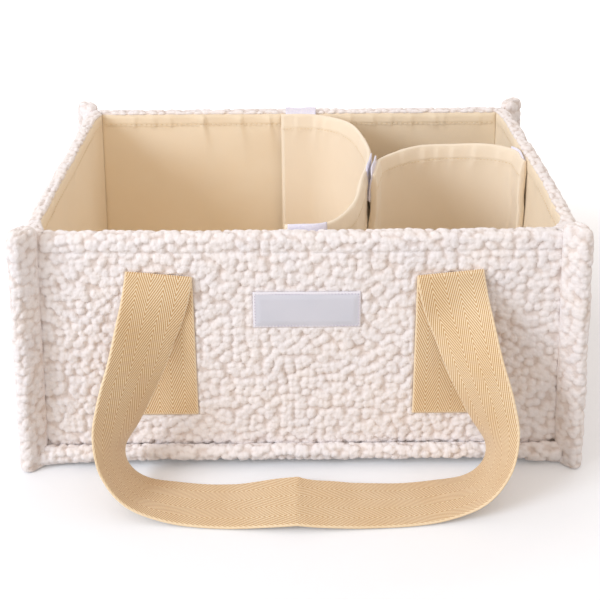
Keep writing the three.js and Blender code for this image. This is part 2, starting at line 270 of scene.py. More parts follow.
def geometryTree(name, sizes, cloth):
    tree = bpy.data.node_groups.new(name, "GeometryNodeTree")
    for way in ("INPUT", "OUTPUT"):
        tree.interface.new_socket("Geometry", in_out=way, socket_type="NodeSocketGeometry")
    for label, value in sizes.items():
        socket = tree.interface.new_socket(label, in_out="INPUT", socket_type="NodeSocketFloat")
        socket.default_value = value
    tree.interface.new_socket(cloth, in_out="INPUT", socket_type="NodeSocketMaterial")
    add = partial(addNode, tree)
    return tree, add, add("NodeGroupInput").outputs


# Runs a geometry tree on a piece and keeps its result as a plain mesh
def runTree(piece, tree, values):
    modifier = piece.modifiers.new(tree.name, "NODES")
    modifier.node_group = tree
    for item in tree.interface.items_tree:
        if item.in_out == "INPUT" and item.name in values:
            modifier[item.identifier] = values[item.name]
    graph = bpy.context.evaluated_depsgraph_get()
    made = bpy.data.meshes.new_from_object(piece.evaluated_get(graph))
    piece.modifiers.remove(modifier)
    bare = piece.data
    piece.data = made
    bpy.data.meshes.remove(bare)
    return piece


# Sets a finished piece on its body, in place of the plain solids that it covers
def fit(piece, body, slot, *nodes, cloth=None):
    if cloth:
        piece.data.materials.append(cloth)
    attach(piece, body)
    if nodes:
        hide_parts(*nodes)


def newMaterial(name, colour, roughness, **constants):
    material = bpy.data.materials.new(name)
    material.use_nodes = True
    shader = material.node_tree.nodes["Principled BSDF"]
    fill(shader, {"Base Color": colour, "Roughness": roughness})
    fill(shader, {label.replace("_", " "): value for label, value in constants.items()})
    return material, partial(addNode, material.node_tree), shader


# Boucle: looped yarn knotted into soft knobs, ivory, with painted shade: the dips between the
# knobs are painted warm beige
def boucleMaterial():
    material, add, shader = newMaterial("boucleKnit", "#F3EDE8", 0.95, Sheen_Weight=0.25,
                                        Sheen_Roughness=0.6, Specular_IOR_Level=0.15)
    place = add("TexCoord").outputs["Object"]
    tuft = add("Attribute", attribute_name="tuft").outputs["Fac"]
    # Painted shade: the lower a point lies between the knots, the darker and warmer beige it is
    # painted, and the knot tops stay ivory
    dipShade = add("ValToRGB", {"Fac": tuft})
    stops = dipShade.color_ramp.elements
    stops[0].position, stops[0].color = 0.1, linear("#E3D9D1")
    stops[1].position, stops[1].color = 0.9, linear("#F9F8F8")
    for position, colour in ((0.42, "#EEE8E4"), (0.66, "#F5F2F0")):
        stops.new(position).color = linear(colour)
    # Yarn that is dyed a little unevenly: patches about 20 mm wide
    patches = add("TexNoise", {"Vector": place, "Scale": 48.0, "Detail": 1.0})
    blush = add("Mix", {"Factor": patches, "A": "#FFF8F4", "B": "#F7F5F9"})
    tinted = add("Mix", {"Factor": 1.0, "A": dipShade, "B": blush}, blend_type="MULTIPLY")
    # Curls of the looped yarn, 2 mm across, with its fibres about 0.9 mm apart
    curls = add("TexVoronoi", {"Vector": place, "Scale": 500.0})
    hollow = add("Bump", {"Height": curls, "Strength": 0.5, "Distance": 0.0007}, invert=True)
    fibres = add("TexNoise", {"Vector": place, "Scale": 1100.0, "Detail": 2.0,
                              "Roughness": 0.6})
    bump = add("Bump", {"Height": fibres, "Strength": 0.3, "Distance": 0.0005,
                        "Normal": hollow})
    fill(shader, {"Base Color": tinted, "Normal": bump})
    return material


# Lining: plain woven cream cloth, smooth with a faint sheen
def liningMaterial(name, colour):
    material, add, shader = newMaterial(name, colour, 0.7, Sheen_Weight=0.3,
                                        Sheen_Roughness=0.5, Specular_IOR_Level=0.3)
    place = add("TexCoord").outputs["Object"]
    # Threads drawn 0.9 mm apart: the real ones are finer than the picture shows
    across = add("Mapping", {"Vector": place, "Rotation": (0, 0, 0.785)})
    threads = add("TexWave", {"Vector": across, "Scale": 350.0, "Distortion": 0.6},
                  bands_direction="Z")
    slubs = add("TexNoise", {"Vector": place, "Scale": 60.0, "Detail": 3.0})
    shade = add("Mix", {"Factor": slubs, "A": colour, "B": "#F9EFDD"})
    soft = add("Mix", {"Factor": 0.35, "A": colour, "B": shade})
    bump = add("Bump", {"Height": threads.outputs["Fac"], "Strength": 0.08,
                        "Distance": 0.0003})
    fill(shader, {"Base Color": soft, "Normal": bump})
    return material


weave = {
    "column": 8.8,  # width of one herringbone column, mm
    "acrossPitch": 1.55,  # thread spacing across the strap
    "alongPitch": 3.4,  # the same along it, so the threads stand steep
    "floatLength": 0.55,  # half the length of a thread's floats
    "width": 44.0,
    "selvedge": (1.3, 0.7),  # the plain line starts and ends this far from the edge
    "selvedgeColour": "#FBE8C8",
}


# Webbing: cotton tape woven as herringbone, matt; the weave pattern is drawn as pale threads with
# painted shade in the brown gaps between them
def webbingMaterial():
    material, add, shader = newMaterial("herringboneWebbing", "#DDB77E", 0.6, Sheen_Weight=0.4,
                                        Sheen_Roughness=0.5, Specular_IOR_Level=0.6)
    across, along = add("SeparateXYZ", [add("UVMap", uv_map="weave")]).outputs[:2]
    zigzag = add("Math.PINGPONG", [across, weave["column"]])
    slant = add("Math.DIVIDE", [zigzag, weave["acrossPitch"]])
    climb = add("Math.DIVIDE", [along, weave["alongPitch"]])
    phase = add("Math.ADD", [slant, climb])
    thread = add("Math.PINGPONG", [phase, 0.5])
    ridge = add("MapRange", {"Value": thread, "From Min": 0.05, "From Max": 0.4},
                interpolation_type="SMOOTHSTEP")
    # Each thread is a row of short floats
    floats = add("Math.PINGPONG", [along, weave["floatLength"]])
    floatFade = add("MapRange", {"Value": floats, "From Max": 0.3, "To Min": 0.75})
    cloth = add("Math.MULTIPLY", [ridge, floatFade])
    # The weave pattern with painted shade and highlight: gaps between the threads are painted
    # brown and the thread tops near white
    colours = add("Mix", {"Factor": cloth, "A": "#C89A5C", "B": "#FFF0D2"})
    # Selvedge: a plain, lighter line along both edges
    half = weave["width"] / 2
    offMiddle = add("Math.SUBTRACT", [across, half])
    fromMiddle = add("Math.ABSOLUTE", [offMiddle])
    start, end = weave["selvedge"]
    edge = add("MapRange", {"Value": fromMiddle, "From Min": half - start,
                            "From Max": half - end})
    edged = add("Mix", {"Factor": edge, "A": colours, "B": weave["selvedgeColour"]})
    # The yarn is open and pale at the cut ends
    fromCut = add("Attribute", attribute_name="fromCut").outputs["Fac"]
    frayed = add("MapRange", {"Value": fromCut, "From Min": 0.5, "From Max": 1.6,
                              "To Min": 1.0, "To Max": 0.0})
    ended = add("Mix", {"Factor": frayed, "A": edged, "B": weave["selvedgeColour"]})
    # Handling dulls and warms it in soft patches
    place = add("TexCoord").outputs["Object"]
    wear = add("TexNoise", {"Vector": place, "Scale": 30.0, "Detail": 3.0})
    tone = add("Mix", {"Factor": wear, "A": "#F3E6D2", "B": "#FFFFFF"})
    dyed = add("Mix", {"Factor": 1.0, "A": ended, "B": tone}, blend_type="MULTIPLY")
    bump = add("Bump", {"Height": cloth, "Strength": 0.6, "Distance": 0.0004})
    fill(shader, {"Base Color": dyed, "Normal": bump})
    return material


# Label: polyester satin ribbon, cool grey with a soft gloss and a paler border
def satinMaterial():
    material, add, shader = newMaterial("satinRibbon", "#D7D8E2", 0.42, Sheen_Weight=0.1,
                                        Specular_IOR_Level=0.45)
    # UV holds the distance to the nearer edge across and along, in mm
    toEdges = add("SeparateXYZ", [add("UVMap", uv_map="weave")]).outputs[:2]
    nearest = add("Math.MINIMUM", toEdges)
    border = add("MapRange", {"Value": nearest, "From Min": 1.2, "From Max": 1.8})
    place = add("TexCoord").outputs["Object"]
    cloud = add("TexNoise", {"Vector": place, "Scale": 40.0, "Detail": 1.0})
    field = add("Mix", {"Factor": cloud, "A": "#CFD2DE", "B": "#DCDCE6"})
    mixed = add("Mix", {"Factor": border, "A": "#EBE9F1", "B": field})
    # Weft of the ribbon, drawn 0.7 mm apart so that it shows
    weft = add("TexWave", {"Vector": place, "Scale": 450.0, "Distortion": 0.3},
               bands_direction="Z")
    bump = add("Bump", {"Height": weft.outputs["Fac"], "Strength": 0.1, "Distance": 0.0002})
    fill(shader, {"Base Color": mixed, "Normal": bump})
    return material


# Cloth of loose fibres: fine noise varies its colour and roughens it
def fibrousMaterial(name, colours, roughness, scale, detail, relief, **constants):
    material, add, shader = newMaterial(name, colours[0], roughness, **constants)
    place = add("TexCoord").outputs["Object"]
    fibres = add("TexNoise", {"Vector": place, "Scale": scale, "Detail": detail})
    shade = add("Mix", {"Factor": fibres, "A": colours[1], "B": colours[2]})
    strength, distance = relief
    bump = add("Bump", {"Height": fibres, "Strength": strength, "Distance": distance})
    fill(shader, {"Base Color": shade, "Normal": bump})
    return material


# Thread: spun polyester, slightly glossy
def threadMaterial(name, colour):
    material, add, shader = newMaterial(name, colour, 0.55, Sheen_Weight=0.1)
    place = add("TexCoord").outputs["Object"]
    twist = add("TexNoise", {"Vector": place, "Scale": 2500.0})
    fill(shader, {"Normal": add("Bump", {"Height": twist, "Strength": 0.3,
                                         "Distance": 0.0001})})
    return material


boucleCloth = boucleMaterial()
liningCloth = liningMaterial("plainLining", "#F6E5CA")
dividerCloth = liningMaterial("dividerLining", "#F5E6D0")
webbing = webbingMaterial()
satin = satinMaterial()
# Fastening tape: brushed nylon pile, pale lavender and quite matt
tapeCloth = fibrousMaterial("brushedTape", ("#D2D0EC", "#E1DFFA", "#FAF9FF"), 0.9, 900.0, 2.0,
                            (0.6, 0.0006), Sheen_Weight=0.35, Sheen_Roughness=0.5,
                            Specular_IOR_Level=0.2)
creamThread = threadMaterial("creamThread", "#EAD3AC")
mauveThread = threadMaterial("mauveThread", "#A99BC0")
# Stiffener: pressed felt board, grey-beige and fibrous
felt = fibrousMaterial("pressedFelt", ("#D9D4CC", "#C8C2B8", "#E6E2DB"), 0.95, 400.0, 4.0,
                       (0.4, 0.0005))
print("materials made")


# Ends a tree: what it made becomes real and gets its material
def endTree(add, geometry, cloth):
    real = add("GeometryNodeRealizeInstances", [geometry])
    smooth = add("GeometryNodeSetShadeSmooth", [real])
    dressed = add("GeometryNodeSetMaterial", {"Geometry": smooth, "Material": cloth})
    add("NodeGroupOutput", [dressed])


# Raises knots of looped yarn on a smooth skin: small round knots on larger lumps. The
# attribute nap scales them, and a stored attribute keeps how high each point stands, for the
# painted shade that the material puts in the dips. They are spaced by distances over the skin.
def bouclePileTree():
    tree, add, given = geometryTree("bouclePile", {
        "Lump Size": 0.0095, "Lump Height": 0.001, "Knot Size": 0.0052, "Knot Height": 0.0017,
        "Clump Size": 0.02, "Clump Height": 0.0007, "Seed": 0.0}, "Cloth")
    across, along, nap = (add("GeometryNodeInputNamedAttribute", {"Name": label},
                              data_type="FLOAT") for label in ("across", "along", "nap"))
    place = add("CombineXYZ", [across, along])
    shift = add("VectorMath.ADD", [place, given["Seed"]])
    sway = add("TexNoise", {"Vector": shift, "Scale": 110.0, "Detail": 1.0})
    centred = add("VectorMath.SUBTRACT", [sway.outputs["Color"], (0.5, 0.5, 0.5)])
    drift = add("VectorMath.SCALE", {0: centred, "Scale": 0.003})
    warped = add("VectorMath.ADD", [shift, drift])
    rises, shadeHeights = [], []
    for kind, reach, weight in (("Lump", 0.85, 0.35), ("Knot", 0.63, 0.65)):
        scale = add("Math.DIVIDE", [1.0, given[kind + " Size"]])
        cells = add("TexVoronoi", {"Vector": warped, "Scale": scale, "Randomness": 0.9},
                    voronoi_dimensions="2D")
        # A round top over each cell's middle
        share = add("Math.DIVIDE", [cells, reach])
        squared = add("Math.POWER", [share, 2.0])
        left = add("Math.SUBTRACT", [1.0, squared], use_clamp=True)
        dome = add("Math.SQRT", [left])
        level = add("Math.SUBTRACT", [dome, 0.6])
        # Some knots stand higher than others
        chance = add("SeparateXYZ", [cells.outputs["Color"]])
        taller = add("Math.MULTIPLY_ADD", [chance, 0.5, 0.75])
        height = add("Math.MULTIPLY", [taller, given[kind + " Height"]])
        rises.append(add("Math.MULTIPLY", [level, height]))
        shadeHeights.append(add("Math.MULTIPLY", [dome, weight]))
    clumpScale = add("Math.DIVIDE", [1.0, given["Clump Size"]])
    clump = add("TexNoise", {"Vector": shift, "Scale": clumpScale, "Detail": 0.0})
    clumpTop = add("Math.MULTIPLY_ADD", [clump, 2.0, -1.0])
    knots = add("Math.ADD", rises)
    rise = add("Math.MULTIPLY_ADD", [clumpTop, given["Clump Height"], knots])
    scaled = add("Math.MULTIPLY", [rise, nap])
    offset = add("VectorMath.SCALE", {0: add("GeometryNodeInputNormal"), "Scale": scaled})
    # Keeps each point's height, by which the material paints shade into the dips
    kept = add("GeometryNodeStoreNamedAttribute", {
        "Geometry": given["Geometry"], "Name": "tuft",
        "Value": add("Math.ADD", shadeHeights)}, data_type="FLOAT", domain="POINT")
    moved = add("GeometryNodeSetPosition", {"Geometry": kept, "Offset": offset})
    endTree(add, moved, given["Cloth"])
    return tree


# A row of short stitches along an edge line
def stitchRowTree():
    tree, add, given = geometryTree("stitchRow", {
        "Pitch": 0.003, "Stitch Length": 0.0022, "Thread Width": 0.0006}, "Thread")
    line = add("GeometryNodeMeshToCurve", [given["Geometry"]])
    points = add("GeometryNodeCurveToPoints", {"Curve": line, "Length": given["Pitch"]},
                 mode="LENGTH")
    along = add("FunctionNodeAlignRotationToVector", {"Vector": points.outputs["Tangent"]},
                axis="X")
    size = add("CombineXYZ", [given["Stitch Length"], given["Thread Width"],
                              given["Thread Width"]])
    bead = add("GeometryNodeMeshUVSphere", {"Segments": 6, "Rings": 4, "Radius": 0.5})
    placed = add("GeometryNodeInstanceOnPoints", {"Points": points, "Instance": bead,
                                                  "Rotation": along, "Scale": size})
    endTree(add, placed, given["Thread"])
    return tree


bouclePile = bouclePileTree()
stitchRow = stitchRowTree()


# A skin with its pile grown, kept above the floor
def boucleSkin(name, rings, nap, seed, **sizes):
    values = {"nap": nap}
    for axis, label in enumerate(("across", "along")):
        steps = np.linalg.norm(np.diff(rings, axis=axis), axis=2)
        start = np.zeros_like(np.take(steps, [0], axis=axis))
        length = np.cumsum(np.concatenate([start, steps], axis=axis), axis=axis)
        length -= np.take(length, [rings.shape[axis] // 2], axis=axis)
        values[label] = length * metresPerMm
    piece = skin(name, rings, values)
    given = {key.replace("_", " "): value for key, value in sizes.items()}
    runTree(piece, bouclePile, {"Seed": seed, "Cloth": boucleCloth, **given})
    points = np.empty(3 * len(piece.data.vertices))
    piece.data.vertices.foreach_get("co", points)
    points[2::3] = np.maximum(points[2::3], clearOfFloor)
    piece.data.vertices.foreach_set("co", points)
    return piece


def stitches(name, lines, thread, pitch=3.0, length=2.2, width=0.6):
    points, edges = [], []
    for line in lines:
        start = len(points)
        points.extend((np.asarray(line) * metresPerMm).tolist())
        edges.extend((start + n, start + n + 1) for n in range(len(line) - 1))
    return runTree(newObject(name, newMesh(name, points, edges)), stitchRow, {
        "Pitch": pitch * metresPerMm, "Stitch Length": length * metresPerMm,
        "Thread Width": width * metresPerMm, "Thread": thread})


wallCloth = {
    "grid": 0.85,  # spacing of the mesh, fine enough for the knots
    "bottom": 11.8,
    "pileStart": 13.0,  # the padding swells from here up to the crease
    "sideClearance": 0.2,
    "rimRadius": 4.5,
    "innerRadius": 1.8,  # the cloth turns down again at the inner edge of the rim
    "innerProud": 0.4,  # and stands this far past the wall's thickness
    "innerTurn": math.radians(170),
    "inside": ((8.2, 171.4), (4.4, 168.5), (4, 120), (4, 60), (4, 11.8)),  # depth, height
    "puff": 0.6,  # padding between the seams
    "pressed": 0.2,  # how far what is sewn on presses it in
    "waves": ((0.35, 29, 37, 1.7), (0.25, 17, -23, 0)),
    "creaseHeight": 161.5,  # the hem is stitched through here
    "creaseDepth": 1.1,
    "creaseWidth": 1.6,
    "cornerTuck": 0.4,  # the cloth goes in towards the corner seams
    "seamTuck": 1.2,  # and towards the seam of the base
    "tuckLength": 5.0,
    "rimShare": 0.25,  # share of the padding that goes on over the rim
    "rimNap": 0.8,
    "seamNap": (0.85, 0.15),  # at the corner seams, and what it gains away from them
    "creaseNapLoss": 0.45,
}

label = {"x": 4.4, "z": 120.3, "width": 72.0, "height": 26.5, "out": 0.3, "thickness": 0.8,
         "raise": 0.9, "pillow": 0.5, "stitchInset": 1.3, "seamDip": 0.15, "edgeWave": 0.18,
         "edgeDrop": 0.5, "stitchSunk": 0.08}
handle = {"centreX": 3.0, "spacing": 192.0, "width": 44.0, "thickness": 2.0,
          "tabBottom": 39.5, "foldHeight": 145.0, "tabOut": 1.3, "foldOut": 3.6}

tabHalf = (handle["foldHeight"] + 2 - handle["tabBottom"]) / 2
tabPatches = [(handle["centreX"] + sign * handle["spacing"] / 2, handle["tabBottom"] + tabHalf,
               handle["width"] / 2, tabHalf) for sign in (-1, 1)]
labelPatch = (label["x"], label["z"], label["width"] / 2, label["height"] / 2)
pressedBy = {"front": tabPatches + [labelPatch], "back": tabPatches, "left": [], "right": []}


# How freely the pile stands at a place on a wall: 0 under what is sewn on, 1 in the open
def napAt(side, x, z, margin=1.5, fade=3.5):
    nap = np.ones(np.broadcast(x, z).shape)
    for centreX, centreZ, halfX, halfZ in pressedBy[side]:
        beyondX = np.maximum(np.abs(x - centreX) - halfX + margin, 0)
        beyondZ = np.maximum(np.abs(z - centreZ) - halfZ + margin, 0)
        nap = np.minimum(nap, smoothStep(np.hypot(beyondX, beyondZ) / fade))
    return nap


# How far the smooth wall cloth stands out of the wall face
def wallPuff(side, x, z, halfRun):
    cloth = wallCloth
    nap = napAt(side, x, z)
    share = np.clip((z - cloth["pileStart"]) / (cloth["creaseHeight"] - cloth["pileStart"]), 0, 1)
    puff = cloth["puff"] * (1 - np.abs(2 * share - 1) ** 5) * nap - cloth["pressed"] * (1 - nap)
    wave = waves(x, z, cloth["waves"])
    crease = np.exp(-((z - cloth["creaseHeight"]) / cloth["creaseWidth"]) ** 2)
    low = 1 - smoothStep((z - cloth["bottom"] - 1) / cloth["tuckLength"])
    edge = fromEdge(halfRun, x, cloth["tuckLength"])
    out = puff + wave * nap - cloth["creaseDepth"] * crease - cloth["seamTuck"] * low
    return (out + cloth["cornerTuck"]) * edge - cloth["cornerTuck"], nap, edge, crease


def makeWallCloth(side, seed):
    grid, radius, small = (wallCloth[key] for key in ("grid", "rimRadius", "innerRadius"))
    top = basket["rim"] - radius
    faceZ = np.linspace(wallCloth["bottom"], top, round((top - wallCloth["bottom"]) / grid) + 1)
    outer = np.linspace(0, math.pi / 2, 9)[1:]
    inner = np.linspace(math.pi / 2, wallCloth["innerTurn"], 6)
    innerStart = basket["wall"] + wallCloth["innerProud"] - small
    flat = np.linspace(radius, innerStart, 5)[1:-1]
    insideDepth, insideZ = np.transpose(wallCloth["inside"])
    # One ring: up the face, over the rim and down behind it
    depth = np.concatenate([0 * faceZ, radius - radius * np.cos(outer), flat,
                            innerStart - small * np.cos(inner), insideDepth])
    height = np.concatenate([faceZ, top + radius * np.sin(outer), 0 * flat + basket["rim"],
                             basket["rim"] - small + small * np.sin(inner), insideZ])
    angle = np.concatenate([0 * faceZ, outer, 0 * flat + math.pi / 2, inner, 0 * insideZ])
    onFace = np.arange(len(depth)) < len(faceZ)
    shown = np.arange(len(depth)) < len(depth) - len(insideZ)
    halfRun = halfRunAt(side, height, depth, wallCloth["sideClearance"])
    rows = round(2 * (walls[side]["along"] + 4) / grid) + 1
    x = np.linspace(-1, 1, rows)[:, None] * halfRun
    out, nap, edge, crease = wallPuff(side, x, height, halfRun)
    out = np.where(shown, out * np.where(onFace, 1.0, wallCloth["rimShare"]), 0)
    # The puff moves straight out on the face and round with the rim above it
    rings = onWall(side, x, -depth + out * np.cos(angle), height + out * np.sin(angle))
    nap = shown * nap * np.where(onFace, 1.0, wallCloth["rimNap"])
    least, gain = wallCloth["seamNap"]
    nap = nap * (least + gain * edge) * (1 - wallCloth["creaseNapLoss"] * crease)
    return boucleSkin(side + "WallBoucle", rings, nap, seed)


for number, side in enumerate(walls):
    fit(makeWallCloth(side, seed=0.31 * number), "basket", "boucle_cloth", side + "_cover")
print("walls made")


cornerRib = {
    "reach": 18.0,
    "thickness": 11.0,
    "neck": 5.6,
    "root": ((-1.8, 0), (-0.4, -1.7), 2.4),  # curve from the neck to the full thickness
    "height": 181.0,
    "backHeight": 180.0,
    "grid": 0.8,
    "outline": 46.0,  # length round its section, for the number of points
    "medial": 8.5,  # the rings shrink towards here at both ends
    "bottomRound": 3.0,
    "bottomSize": 0.62,
    "topRound": 4.5,
    "topSize": 0.5,
    "ends": 8.0,  # height that the rings of both ends take up
    "dimple": ((0.36, 0.1), (0.24, 0.4), (0.13, 0.7), (0.05, 0.9)),  # size, depth
    "dimpleNap": 0.5,
    "pile": (-0.5, 2.5),
    "uneven": ((0.05, 13, 9), (0.03, 5.3, 4)),
    "knots": {"Knot_Height": 0.0013, "Clump_Height": 0.0009},
}


# Pile of a seam roll: it starts at one distance out of the wall, is full after another, and
# stays short close to the floor
def rollNap(out, z, roll):
    start, over = roll["pile"]
    return smoothStep((out - start) / over) * np.clip(0.1 + z / 5, 0, 1)


# Uneven stuffing of a seam roll: waves, each with its size, length and share of the seed
def unevenness(along, seed, roll, level=0):
    return sum((size * np.sin(along / length + seed * share)
                for size, length, share in roll["uneven"]), level)


def ribSection():
    half, neck = cornerRib["thickness"] / 2, cornerRib["neck"] / 2
    centre = cornerRib["reach"] - half
    turn = np.linspace(-math.pi / 2, math.pi / 2, 24)
    nose = together(centre + half * np.cos(turn), half * np.sin(turn))
    (startX, startY), (nextX, nextY), swollen = cornerRib["root"]
    lower = cubic((startX, startY - neck), (nextX, nextY - neck), (swollen, -half),
                  (centre / 2, -half), 12)
    outline = np.vstack([lower, nose, lower[::-1] * [1, -1]])
    return evenly(outline, round(cornerRib["outline"] / cornerRib["grid"]), closed=True)


def makeCornerRib(name, signX, signY, seed):
    section = ribSection()
    medial = np.array([cornerRib["medial"], 0.0])
    height, grid = cornerRib["height" if signY < 0 else "backHeight"], cornerRib["grid"]
    lowRound, topRound, lowSize, topSize = (
        cornerRib[key] for key in ("bottomRound", "topRound", "bottomSize", "topSize"))
    turn = np.linspace(0, math.pi / 2, 6)
    # Sizes and heights of the rings: round at both ends, with a dimple in the top
    levels = [(lowSize + (1 - lowSize) * math.sin(a), lowRound * (1 - math.cos(a)))
              for a in turn]
    count = round((height - cornerRib["ends"]) / grid)
    levels += [(1.0, z) for z in np.linspace(lowRound, height - topRound, count)[1:-1]]
    levels += [(topSize + (1 - topSize) * math.cos(a),
                height - topRound + topRound * math.sin(a)) for a in turn]
    levels += [(size, height - depth) for size, depth in cornerRib["dimple"]]
    spot = np.array([signX * basket["halfLength"], signY * basket["halfWidth"]])
    away = np.array([signX, signY]) / math.sqrt(2)
    beside = np.array([-away[1], away[0]])
    rings, naps = [], []
    for size, z in levels:
        ring = medial + (section - medial) * size * [1, unevenness(z, seed, cornerRib, 1)]
        out = ring[:, 0] + spreadAt(z) * math.sqrt(2)
        plan = spot + out[:, None] * away + ring[:, 1:] * beside
        rings.append(together(*plan.T, z))
        free = cornerRib["dimpleNap"] if size < cornerRib["dimple"][0][0] else 1.0
        naps.append(rollNap(section[:, 0], z, cornerRib) * free)
    return boucleSkin(name, np.array(rings), np.array(naps), seed, **cornerRib["knots"])


for number, (signX, signY) in enumerate([(-1, -1), (1, -1), (-1, 1), (1, 1)]):
    end, hand = "back" if signY > 0 else "front", "right" if signX > 0 else "left"
    piece = makeCornerRib(f"{end}{hand.title()}SeamRoll", signX, signY,
                          seed=0.17 + 0.23 * number)
    fit(piece, "basket", "boucle_cloth", f"{end}_{hand}_corner_rib")

baseRoll = {
    "thickness": 10.0,
    "reach": 9.5,
    "root": 3.6,  # half its height where it leaves the wall
    "underside": 5.5,
    "endUnderside": 0.6,  # near the corners it comes down to the floor
    "dropLength": 60.0,
    "setback": 7.6,
    "wrap": 0.66,  # share of half a turn that it goes round each way
    "grid": 0.85,
    "pile": (0.3, 2.0),
    "uneven": ((0.4, 19, 7), (0.25, 7.7, 0)),
    "unevenUp": 0.4,
}


def makeBaseRoll(side, seed):
    radius = baseRoll["thickness"] / 2
    centreOut = baseRoll["reach"] - radius
    centreUp = baseRoll["underside"] + radius
    top = centreUp + radius
    wrap = baseRoll["wrap"] * math.pi
    turn = np.linspace(-wrap, wrap, 40)
    outline = together(centreOut + radius * np.cos(turn), centreUp + radius * np.sin(turn))
    root = baseRoll["root"]
    outline = np.vstack([[0.0, centreUp - root], outline, [0.0, centreUp + root]])
    out, up = evenly(outline, 40, closed=True).T
    run = halfRunAt(side, centreUp, baseRoll["setback"])
    share = np.linspace(-1, 1, round(2 * run / baseRoll["grid"]) + 1)[:, None]
    fromEnd = run * (1 - np.abs(share))
    nearEnd = np.clip(1 - fromEnd / baseRoll["dropLength"], 0, 1) ** 2
    drop = (top - baseRoll["endUnderside"]) / (top - baseRoll["underside"]) - 1
    swell = unevenness(share * run, seed, baseRoll)
    z = top - (top - up) * (1 + drop * nearEnd) + swell * baseRoll["unevenUp"]
    faceOut = spreadAt(centreUp) - spreadAt(z)
    rings = onWall(side, share * (run + out), out + faceOut + swell * (out > 1), z)
    return boucleSkin(side + "BaseRoll", rings, rollNap(out, z, baseRoll), seed)


for number, side in enumerate(walls):
    fit(makeBaseRoll(side, seed=0.41 + 0.19 * number), "basket", "boucle_cloth",
        side + "_base_rib")

baseCloth = {"under": 8.0, "top": 11.4, "inset": 1.0, "grid": 2.2, "nap": 0.6, "fade": 4.0,
             "knots": {"Knot_Height": 0.0012}}


def makeBaseCloth():
    under, grid, fade = (baseCloth[key] for key in ("under", "grid", "fade"))
    halfLength, halfWidth = floorHalves(under, baseCloth["inset"])
    across = np.linspace(-halfWidth, halfWidth, round(2 * halfWidth / grid) + 1)
    y = np.concatenate([across, [halfWidth, halfWidth * 0.5, -halfWidth * 0.5, -halfWidth]])
    z = np.concatenate([0 * across + under, [baseCloth["top"]] * 4])
    nap = np.append(fromEdge(halfWidth, across, fade) * baseCloth["nap"], [0] * 4)
    x = np.linspace(-halfLength, halfLength, round(2 * halfLength / grid) + 1)
    rings = together(x[:, None], y, z)
    nap = nap * fromEdge(halfLength, x[:, None], fade)
    return boucleSkin("baseBoucle", rings, nap, seed=1.9, **baseCloth["knots"])


fit(makeBaseCloth(), "basket", "boucle_cloth", "base_cover")
print("seam rolls and base made")


lining = {
    "bottom": 16.8,
    "top": 172.3,
    "behind": ((8.4, 172.6), (6.9, 168.3), (7.8, 100), (7.8, 16.8)),  # depth, height
    "grid": 1.5,
    "fineTop": 24.0,  # the mesh is finer from here up
    "levels": (26, 30),  # rows of points below and above that
    "sideClearance": 0.2,
    "hem": 9.7,  # height of the turned hem under the rim
    "hemProud": 0.9,
    "stitchBelow": 8.4,
    "stitchPitch": 4.4,
    "tug": 0.75,  # how far the stitches pull the cloth in
    "waves": ((0.9, 31, 43, 0.6), (0.5, 13, -29, 2.1)),
    "slack": 0.8,
    "slackFade": 30.0,  # the cloth lies still near the hem and the floor
    "edgeFade": 3.0,
}
wallBoard = {"near": 4.4, "far": 7.1, "bottom": 12.2, "top": 164.0, "sideClearance": 0.3,
             "grid": 3.0}
# What all hems share: the step under the band, its soft shoulder, and how the cloth is pulled
# in along the stitches and swells below them
hemShape = {"overlap": 0.4, "step": 0.9, "shoulder": 2.5, "shoulderShare": 0.3,
            "pullWidth": 0.8, "scallop": 0.4, "beadBelow": 1.2, "beadWidth": 0.9,
            "beadShare": 0.45, "slant": 0.06}
stitchProud = 0.1  # a row of stitches stands this far out of its cloth

# Puckers of the hem: place along the wall, width, height and how far a pleat runs down
liningPuckers = {
    "back": [(17.7, 5, 1.5, 8), (25.3, 4, 1.9, 17), (49.6, 4.5, 2.0, 26), (80.7, 4, 2.6, 20),
             (108.4, 4, 0.9, 2), (122.7, 5, 1.0, 2), (138.7, 4, 1.1, 3), (-42.8, 4, 1.2, 3),
             (-61.3, 5, 1.3, 4), (-76.4, 5, 1.0, 3), (-93.2, 6, 1.2, 5), (-113.4, 5, 1.4, 4),
             (-121, 4, 1.0, 3), (-150, 6, 1.0, 4)],
    "front": [(-140, 5, 1.2, 5), (-96, 4, 1.8, 16), (-40, 5, 1.2, 6), (38, 4, 1.6, 14),
              (88, 5, 1.1, 5), (131, 5, 1.4, 9)],
    "left": [(-84, 5, 0.9, 4), (-12, 5, 0.8, 4), (61, 6, 0.9, 5)],
    "right": [(-70, 5, 0.9, 5), (-20, 6, 0.8, 4), (44, 5, 0.9, 6), (92, 5, 0.8, 4)],
}


# A fold with a crisp edge on one side that dies away on the other
def pleat(distance, width):
    return np.where(distance > 0, np.exp(-np.maximum(distance, 0) / (1.3 * width)),
                    np.exp(-(np.minimum(distance, 0) / (0.4 * width)) ** 2))


